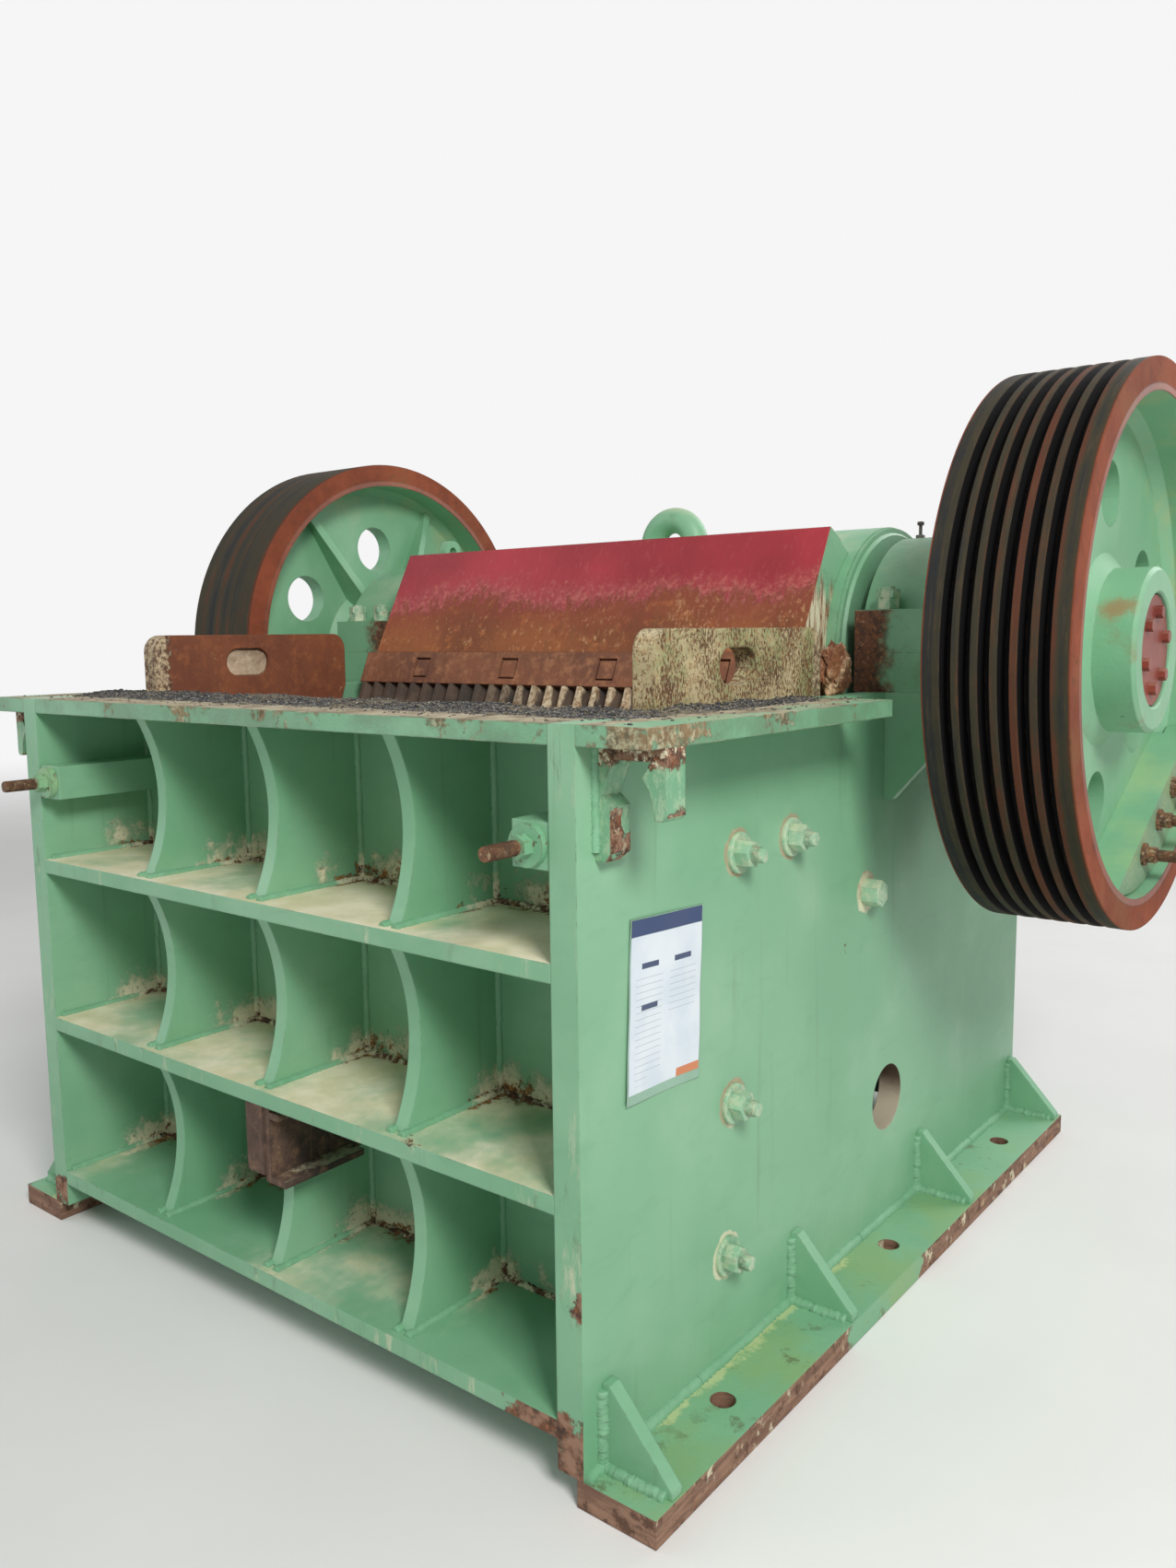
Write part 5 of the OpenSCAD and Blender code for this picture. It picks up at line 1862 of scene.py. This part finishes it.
@dataclass
class DeckGrit:
    """Crushed stone that lies on the deck round the crushing chamber."""

    plan: Plan
    seed: int = 41
    stones: int = 3600
    bed: float = 0.012
    front_fade: Pair = (0.085, 0.09)
    side_fade: Pair = (0.80, 0.085)
    rear_fade: Pair = (0.86, 0.1)
    mouth: Pair = (0.79, 0.285)

    def amount(self, x: float, y: float) -> float:
        """How deep the grit lies at a place, from 0 to 1.

        Args:
            x: Place across the machine.
            y: Place behind the front edge.

        Returns:
            The share of the full depth.
        """
        front = share((y - self.front_fade[0]) / self.front_fade[1])
        out = max(0.0, abs(x) - self.side_fade[0])
        side = max(0.0, 1.0 - out / self.side_fade[1])
        rear = share((self.rear_fade[0] - y) / self.rear_fade[1])
        lump = noise.fractal(Vector((x * 9, y * 9, 1.7)), 0.9, 2.1, 4)
        return front * side * rear * (0.72 + 0.5 * lump)

    def layer(self, name: str, low: Pair, high: Pair) -> Piece:
        """Models one uneven bed whose border sinks into the deck.

        Args:
            name: The piece's name.
            low: Its lowest x and y, with y behind the front edge.
            high: Its highest x and y.

        Returns:
            The bed.
        """
        plan = self.plan
        start, end = (low[0], plan.back(low[1])), (high[0], plan.back(high[1]))
        bench = Bench.grid(name, start, end, plan.deck - 0.003, 0.007)
        for point in bench.piece.data.vertices:
            x, y = point.co.x, point.co.y - plan.front
            away = min(x - low[0], high[0] - x, y - low[1], high[1] - y)
            border = share(away / 0.012)
            rough = 0.25 * noise.noise(Vector((x * 120, y * 120, 0.0)))
            point.co.z += border * (self.bed * max(-0.2, self.amount(x, y) + rough - 0.15) + 0.0022)
        bench.pick(Pick.EDGES, lambda _, __: False)
        bpy.ops.mesh.select_non_manifold(extend=False)
        bpy.ops.mesh.extrude_region_move(TRANSFORM_OT_translate={"value": (0.0, 0.0, -0.004)})
        bpy.ops.mesh.edge_face_add()
        bench.done()
        return bench.outward().piece

    def chips(self) -> list[Bench]:
        """Models six angular stones of unit size.

        Returns:
            The benches that hold them.
        """
        made = []
        for number in range(6):
            bpy.ops.mesh.primitive_ico_sphere_add(subdivisions=1, radius=1.0)
            bench = Bench(f"chip_{number}")
            bench.pick(Pick.POINTS, lambda _, __: True)
            bpy.ops.transform.vertex_random(offset=0.45, seed=number + 2)
            bpy.ops.transform.resize(value=(1.25, 0.9, 0.55), center_override=(0.0, 0.0, 0.0))
            made.append(bench.done())
        return made

    def scatter(self, rng: random.Random) -> Piece:
        """Strews stones over the beds and near the plates.

        Args:
            rng: The random numbers.

        Returns:
            The stones as one piece.
        """
        models = self.chips()
        shape = bmesh.new()
        laid = 0
        while laid < self.stones:
            x, y = rng.uniform(-0.95, 0.95), rng.uniform(0.03, 0.88)
            if abs(x) < self.mouth[0] and y > self.mouth[1]:
                continue
            depth = self.amount(x, y)
            if depth < rng.uniform(-0.06, 0.9):
                continue
            size = rng.uniform(0.0012, 0.0036) * (1.6 if rng.random() < 0.06 else 1.0)
            level = self.plan.deck + max(0.0, self.bed * (depth - 0.15)) + size * 0.15
            turn = Matrix.Rotation(rng.uniform(0, 6.283), 4, "Z")
            turn = turn @ Matrix.Rotation(rng.uniform(-0.6, 0.6), 4, "X")
            place = Matrix.Translation((x, self.plan.back(y), level)) @ turn @ Matrix.Scale(size, 4)
            first = len(shape.verts)
            shape.from_mesh(models[laid % len(models)].piece.data)
            shape.verts.ensure_lookup_table()
            bmesh.ops.transform(shape, matrix=place, verts=shape.verts[first:])
            laid += 1
        mesh = bpy.data.meshes.new("grit_stones")
        shape.to_mesh(mesh)
        shape.free()
        piece = bpy.data.objects.new("grit_stones", mesh)
        bpy.context.scene.collection.objects.link(piece)
        for model in models:
            model.clear()
        return piece

    def build(self, material: Material) -> None:
        """Lays the beds and strews the stones.

        Args:
            material: Their finish.
        """
        dress(self.layer("grit_front", (-0.90, 0.07), (0.90, 0.284)), material, "frame")
        dress(self.layer("grit_right", (0.788, 0.284), (0.93, 0.838)), material, "frame")
        dress(self.layer("grit_left", (-0.93, 0.284), (-0.788, 0.838)), material, "frame")
        dress(self.scatter(random.Random(self.seed)), material, "frame")


@dataclass
class WallSheet:
    """A blank form in a thin sleeve, hung on the right side wall."""

    plan: Plan
    size: Pair = (0.213, 0.296)
    middle: Pair = (0.239, 0.815)
    lean: float = -3.2
    sleeve: Pair = (0.221, 0.316)
    thick: float = 0.0004
    curl: float = 0.0012

    def sheet(self, name: str, size: Pair, lift: float) -> Bench:
        """Models one upright sheet that bows off the wall.

        Args:
            name: The piece's name.
            size: Its width and height.
            lift: Its distance from the wall.

        Returns:
            The bench that holds it.
        """
        wide, high = size
        bpy.ops.mesh.primitive_grid_add(x_subdivisions=20, y_subdivisions=28, size=1.0)
        bpy.context.object.scale = (wide, high, 1.0)
        bench = Bench(name)
        for point in bench.piece.data.vertices:
            x, y = point.co.x / wide, point.co.y / high
            wave = 0.0009 * math.sin(7 * x + 4 * y) + 0.0006 * math.sin(13 * y - 3 * x)
            point.co.z = lift + 0.0015 + wave + self.curl * (abs(2 * x) ** 3) * (0.4 + abs(y))
        bench.modify("SOLIDIFY", thickness=self.thick, offset=1.0)
        y, z = self.plan.back(self.middle[0]), self.middle[1] - (high - self.size[1]) * 0.4
        tilt = Matrix.Rotation(math.radians(self.lean), 4, "X")
        bench.piece.data.transform(Matrix.Translation((self.plan.wall_out, y, z)) @ tilt @ ONTO_WALL)
        return bench.smooth(40)

    def build(self, paper: Material, film: Material) -> None:
        """Hangs the sleeve and the form.

        Args:
            paper: Finish of the form.
            film: Finish of the sleeve.
        """
        dress(self.sheet("sheet_sleeve", self.sleeve, 0.0002).piece, film, "frame")
        dress(self.sheet("blank_sheet", self.size, 0.0010).piece, paper, "frame")


@dataclass
class BearingTrim:
    """Bolted cover rings on the outer faces of the bearings, and grease nipples on the caps."""

    plan: Plan
    outer: float = 0.212
    inner: float = 0.104
    thick: float = 0.012
    collar: Pair = (0.140, 0.006)
    bolt_circle: float = 0.19
    bolts: int = 8
    head: Pair = (0.0135, 0.009)
    nipple_in: float = 0.223

    def cover(self) -> Bench:
        """Models a stepped ring with its bolts along Z.

        Returns:
            The bench that holds it.
        """
        ring = Bench.disc("cover", self.outer, 0.0, self.thick, 72).bore(self.inner, self.outer)
        ring.rim(self.thick, 0.002).outward()
        wide, top = self.collar[0], self.thick + self.collar[1]
        collar = Bench.disc("collar", wide, 0.0, top, 64).bore(self.inner, wide)
        collar.rim(top, 0.0025).outward()
        across, top = self.head[0], self.thick + self.head[1]
        head = Bench.disc("head", across, 0.0, top, 6).rim(top, 0.0018)
        parts = [ring.piece, collar.piece]
        for number in range(self.bolts):
            turn = 2 * math.pi * (number + 0.5) / self.bolts
            out, up = self.bolt_circle * math.cos(turn), self.bolt_circle * math.sin(turn)
            parts.append(head.copy("head", Matrix.Translation((out, up, 0.0))))
        head.clear()
        bpy.context.view_layer.objects.active = join("cover", parts)
        return Bench("cover").smooth(30)

    def nipple(self) -> Bench:
        """Models a hexagon base with a stem and a flat round head along Z.

        Returns:
            The bench that holds it.
        """
        base = Bench.disc("base", 0.011, -0.002, 0.008, 6).rim(0.008, 0.0015)
        base.caps()
        bpy.ops.mesh.inset(thickness=0.0045, depth=0.0)
        for rise, grow in ((0.022, 1.0), (0.001, 2.0), (0.007, 1.0), (0.0015, 0.8)):
            bpy.ops.mesh.extrude_region_move(TRANSFORM_OT_translate={"value": (0.0, 0.0, rise)})
            bpy.ops.transform.resize(value=(grow, grow, 1.0), center_override=(0.0, 0.0, 0.0))
        base.done()
        return base.smooth(30)

    def build(self, paint: Material, steel: Material) -> None:
        """Places the covers and the nipples.

        Args:
            paint: Finish of the covers.
            steel: Finish of the nipples.
        """
        plan = self.plan
        cover, nipple = self.cover(), self.nipple()
        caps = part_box("bearing_caps")
        for side, sign in SIDES:
            place = along((sign, 0.0, 0.0), (sign * plan.block_out, *plan.axis))
            dress(cover.copy(f"bearing_cover_{side}", place), paint, "frame")
            place = (sign * (plan.block_out - self.nipple_in), plan.axis[0], caps[1][2])
            place = Matrix.Translation(place)
            dress(nipple.copy(f"grease_nipple_{side}", place), steel, "frame")
        cover.clear()
        nipple.clear()


@dataclass
class SlotDeposit:
    """Set dust that fills the oval hole of the left cheek plate."""

    place: Pair
    wall_in: float
    radius: float = 0.0352
    stretch: float = 0.031
    depth: float = 0.034

    def build(self, material: Material) -> None:
        """Models the lumpy filling and sets it in the hole.

        Args:
            material: Its finish.
        """
        bench = Bench.disc("slot_deposit", self.radius, 0.0, self.depth, 40)
        for sign in (1.0, -1.0):
            bench.pick(Pick.POINTS, lambda p, _: p.x * sign > 1e-4)
            bpy.ops.transform.translate(value=(sign * self.stretch, 0.0, 0.0))
            bench.done()
        bench.caps()
        for _ in range(5):
            bpy.ops.mesh.inset(thickness=0.0055, depth=0.0)
        bpy.ops.mesh.poke()
        bpy.ops.mesh.subdivide(number_cuts=2)
        bench.done()
        for point in bench.piece.data.vertices:
            if point.co.z > self.depth - 1e-4:
                point.co.z += 0.004 * noise.fractal(point.co * 45, 0.9, 2.1, 4)
        place = Matrix.Translation((-self.wall_in + 0.004, *self.place))
        bench.piece.data.transform(place @ ONTO_WALL)
        dress(bench.smooth(60).piece, material, "frame")


@dataclass
class DirtClump:
    """A clump of dried dirt that lies on the deck behind the right cheek plate."""

    plan: Plan
    middle: Point = (0.787, 0.966, 0.054)
    reach: Point = (0.021, 0.060, 0.056)
    lumps: float = 0.26

    def build(self, material: Material) -> None:
        """Swells a ball into lumps, sets it down and flattens it where it meets the deck.

        Args:
            material: Its finish.
        """
        bpy.ops.mesh.primitive_ico_sphere_add(subdivisions=5, radius=1.0)
        bench = Bench("dirt_clump")
        x, y, z = self.middle
        rest = Vector((x, self.plan.back(y), self.plan.deck + z))
        for point in bench.piece.data.vertices:
            coarse = noise.fractal(point.co * 1.7, 0.8, 2.1, 3)
            fine = noise.fractal(point.co * 6.5, 0.7, 2.3, 4)
            swell = 1.0 + self.lumps * coarse + 0.5 * self.lumps * fine
            point.co = rest + Vector(c * swell * size for c, size in zip(point.co, self.reach))
            point.co.z = max(point.co.z, self.plan.deck - 0.003)
        dress(bench.outward().smooth(50).piece, material, "frame")


@dataclass
class Dressing:
    """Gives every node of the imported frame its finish."""

    nodes: dict[str, Piece]
    plan: Plan
    bolts: tuple[Pair, ...]

    def use(self, material: Material, *names: str) -> None:
        """Puts one material on some nodes.

        Args:
            material: The finished material.
            names: Node names.
        """
        for name in names:
            mesh = self.nodes[name].data
            if mesh.materials:
                mesh.materials[0] = material
            else:
                mesh.materials.append(material)
        log.info("finish %s on %s", material.name, ", ".join(names))

    def wheel(self, node: str, grooved: bool) -> None:
        """Makes and puts on the finish of one wheel.

        Args:
            node: The wheel's node.
            grooved: Whether its tread carries belt grooves.
        """
        low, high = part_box(node)
        radius = (high[2] - low[2]) / 2
        sides = tuple(sorted((abs(low[0]), abs(high[0]))))
        paint = WheelPaint(f"{node}_paint", self.plan, radius - 0.068, radius, sides, grooved)
        self.use(paint.build(), node)

    def plates(self) -> None:
        """Finishes the welded frame."""
        plan = self.plan
        hole = (plan.back(1.157), 0.347, 0.077)
        walls = FramePaint("wall_paint", plan, chips=0.6, wear=0.0, bolts=self.bolts, hole=hole)
        self.use(walls.build(), "side_wall_left", "side_wall_right")
        self.use(
            FramePaint("cell_paint", plan).build(),
            "foot_gussets", "front_wall", "front_shelves", "front_ribs", "rear_wall",
            "rear_shelves", "rear_ribs", "toggle_seat", "bearing_seats", "clamp_bars",
        )
        low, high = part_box("lifting_hooks")
        self.use(HookPaint("hook_paint", low[2], high[2]).build(), "lifting_hooks")
        self.use(FootPaint("foot_paint", plan).build(), "foot_plate_left", "foot_plate_right")
        self.use(DeckPaint("deck_paint", plan, (0.93, 0.85)).build(), "deck_front", "deck_sides")

    def moving(self) -> None:
        """Finishes the swing jaw, the bearings and the rotor."""
        self.use(SmallPaint("casting_paint").build(), "swing_jaw_body", "head_covers", "lifting_eyes")
        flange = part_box("bearing_caps")[0][2] + 0.098
        block = SmallPaint("block_paint", rot=(0.93, 0.78, flange))
        self.use(block.build(), "bearing_blocks", "bearing_caps")
        nuts = SmallPaint("nut_paint", MINT_PALE, MINT_FADED, wear=0.5, crusted=0.5)
        self.use(nuts.build(), "cap_bolts")
        self.wheel("drive_pulley", grooved=True)
        self.wheel("flywheel", grooved=False)
        weights = StudPaint("weight_paint", "X", 1.3012)
        self.use(weights.build(), "counterweight_right", "counterweight_left")
        oxide = SmallPaint("cap_oxide", screen(120, 52, 42), screen(144, 70, 54), wear=0.2)
        self.use(oxide.build(), "shaft_end_caps")
        low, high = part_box("guard_plate")
        line = low[2] + 0.53 * (high[2] - low[2])
        self.use(GuardPaint("guard_paint", line).build(), "guard_plate")

    def liners(self) -> None:
        """Finishes the worn and bare pieces."""
        brown = (screen(104, 66, 50), screen(134, 84, 58), screen(166, 114, 80))
        self.use(Rust("wedge_rust", *brown, dust=0.6, drips=0.6).build(), "jaw_wedge")
        brown = (screen(48, 38, 34), screen(92, 70, 58), screen(128, 98, 76))
        self.use(Rust("stub_rust", *brown, dust=0.7).build(), "stub_bracket")
        low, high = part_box("cheek_plate_left")
        crumbs = (low[1] + 0.01, low[1] + 0.09)
        brown = (screen(112, 62, 40), screen(132, 76, 46), screen(146, 86, 50))
        smooth = CheekPaint("smooth_rust", *brown, dust=0.5, drips=0.15, crumbs=crumbs)
        self.use(smooth.build(), "cheek_plate_left")
        crumbs = (high[1] - 0.01, high[1] - 0.07)
        brown = (screen(104, 68, 44), screen(134, 90, 56), screen(162, 112, 70))
        flaked = CheekPaint(
            "flaked_paint", *brown, dust=0.5, depth=0.0022, crumbs=crumbs, flaked=0.86
        )
        self.use(flaked.build(), "cheek_plate_right")
        for node in ("fixed_jaw_plate", "swing_jaw_plate"):
            low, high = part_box(node)
            self.use(TeethSteel(f"{node}_steel", high[0] - low[0]).build(), node)
        studs = StudPaint("clamp_paint", "Y", -self.plan.front + 0.0335, chips=0.9)
        self.use(studs.build(), "clamp_studs")
        self.use(
            OldSteel("dull_steel").build(),
            "bearing_rings", "head_bearings", "eccentric_shaft", "return_rods",
            "toggle_plate", "return_springs",
        )


@dataclass
class Studio:
    """Pale floor, soft lamps and the camera at the photograph's place."""

    lens_px: float = 1314.646
    frame_px: tuple[int, int] = (1276, 1702)
    place: Point = (1.99468, -2.46683, 1.43803)
    yaw: float = 0.668
    pitch: float = 0.123
    roll: float = -0.011

    def camera(self) -> None:
        """Makes the camera and sets it as the scene's."""
        ahead = Vector(
            (
                -math.sin(self.yaw) * math.cos(self.pitch),
                math.cos(self.yaw) * math.cos(self.pitch),
                -math.sin(self.pitch),
            )
        )
        level = Vector((math.cos(self.yaw), math.sin(self.yaw), 0.0))
        over = level.cross(ahead)
        right = math.cos(self.roll) * level + math.sin(self.roll) * over
        top = -math.sin(self.roll) * level + math.cos(self.roll) * over
        data = bpy.data.cameras.new("camera")
        data.sensor_fit = "AUTO"
        data.sensor_width = 36.0
        data.lens = data.sensor_width * self.lens_px / max(self.frame_px)
        data.clip_end = 200.0
        camera = bpy.data.objects.new("camera", data)
        turn = Matrix((right, top, -ahead)).transposed().to_4x4()
        camera.matrix_world = Matrix.Translation(Vector(self.place)) @ turn
        bpy.context.scene.collection.objects.link(camera)
        bpy.context.scene.camera = camera

    def lamp(self, name: str, place: Point, size: float, power: float, tint: Rgb = (1.0, 1.0, 1.0)) -> None:
        """Adds one square area lamp that faces the machine.

        Args:
            name: The lamp's name.
            place: Where it hangs.
            size: Its side in metres.
            power: Its power in watts.
            tint: Its colour.
        """
        data = bpy.data.lights.new(name, "AREA")
        data.size = size
        data.energy = power
        data.color = tint
        lamp = bpy.data.objects.new(name, data)
        lamp.location = place
        aim = Vector((0.0, -0.2, 0.8)) - Vector(place)
        lamp.rotation_mode = "QUATERNION"
        lamp.rotation_quaternion = aim.to_track_quat("-Z", "Y")
        bpy.context.scene.collection.objects.link(lamp)

    def floor(self) -> None:
        """Lays a wide pale floor that fades into the background far away."""
        bpy.ops.mesh.primitive_grid_add(
            x_subdivisions=8, y_subdivisions=8, size=80.0, location=(0.0, 0.0, -0.001)
        )
        floor = bpy.context.object
        floor.name = "studio_floor"
        g = Graph("floor_paint")
        grain = g.step(g.noise(1.5, 4), 0.3, 0.7)
        g.finish(g.mix(grain, (0.80, 0.80, 0.79), (0.83, 0.83, 0.82)), 0.85)
        far = g.math("SQRT", g.plus(g.times(g.x, g.x), g.times(g.y, g.y)))
        clear = g.tree.nodes.new("ShaderNodeBsdfTransparent").outputs[0]
        joined = g.tree.nodes.new("ShaderNodeMixShader")
        g.put(joined.inputs[0], g.step(far, 4.5, 14.0))
        g.put(joined.inputs[1], g.shader.outputs[0])
        g.put(joined.inputs[2], clear)
        g.put(g.tree.nodes["Material Output"].inputs["Surface"], joined.outputs[0])
        floor.data.materials.append(g.material)

    def air(self) -> None:
        """Sets an even pale background."""
        world = bpy.data.worlds.new("studio_air")
        world.use_nodes = True
        bpy.context.scene.world = world
        tree = world.node_tree
        back = tree.nodes["Background"]
        back.inputs["Color"].default_value = (1.0, 1.0, 1.0, 1.0)
        path = tree.nodes.new("ShaderNodeLightPath")
        seen = tree.nodes.new("ShaderNodeMath")
        seen.operation = "MAXIMUM"
        tree.links.new(path.outputs["Is Camera Ray"], seen.inputs[0])
        tree.links.new(path.outputs["Is Glossy Ray"], seen.inputs[1])
        level = tree.nodes.new("ShaderNodeMapRange")
        level.inputs["To Min"].default_value = 0.32
        level.inputs["To Max"].default_value = 0.92
        tree.links.new(seen.outputs[0], level.inputs["Value"])
        tree.links.new(level.outputs["Result"], back.inputs["Strength"])

    def build(self) -> None:
        """Builds the whole studio."""
        self.camera()
        self.air()
        self.floor()
        self.lamp("key_lamp", (5.2, -3.6, 5.2), 1.9, 400.0, (1.0, 0.985, 0.96))
        self.lamp("left_lamp", (-5.0, -3.6, 3.2), 4.0, 70.0, (0.96, 0.98, 1.0))
        self.lamp("rear_lamp", (1.5, 5.0, 4.6), 3.5, 150.0)
        bpy.context.scene.view_settings.view_transform = "Standard"


def main() -> None:
    """Builds the scene in order and reports each part."""
    logging.basicConfig(level=logging.INFO, format="%(name)s: %(message)s")
    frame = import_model()
    Studio().build()
    plan = Plan.measure()
    bolts = WallBolts(plan)
    dressing = Dressing(frame["nodes"], plan, bolts.places())
    dressing.plates()
    dressing.moving()
    dressing.liners()
    green = SmallPaint("bolt_paint", MINT_PALE, MINT_FADED, wear=0.3, crusted=0.35).build()
    brown = (screen(78, 56, 42), screen(116, 80, 54), screen(160, 124, 88))
    rust = Rust("thread_rust", *brown, depth=0.0006).build()
    steel = OldSteel("part_steel").build()
    bolts.build(green)
    StudThreads(plan).build(rust, steel)
    ReturnSprings(plan).build(steel)
    WeldSeams(plan).build(SeamPaint("seam_paint", plan).build())
    DeckGrit(plan).build(Grit("deck_grit").build())
    film = SmallPaint("film", screen(138, 176, 154), screen(152, 186, 166), wear=0.0).build()
    WallSheet(plan).build(Paper("paper").build(), film)
    BearingTrim(plan).build(SmallPaint("cover_paint").build(), steel)
    crust = Rust("set_dust", screen(150, 128, 104), screen(196, 176, 148), screen(214, 198, 174)).build()
    SlotDeposit((plan.back(0.568), 1.3745), plan.wall_in).build(crust)
    brown = (screen(104, 60, 36), screen(172, 112, 70), screen(226, 190, 154))
    dirt = Rust("clump_dirt", *brown, dust=0.6, depth=0.0024, drips=0.0).build()
    DirtClump(plan).build(dirt)


if __name__ == "__main__":
    main()
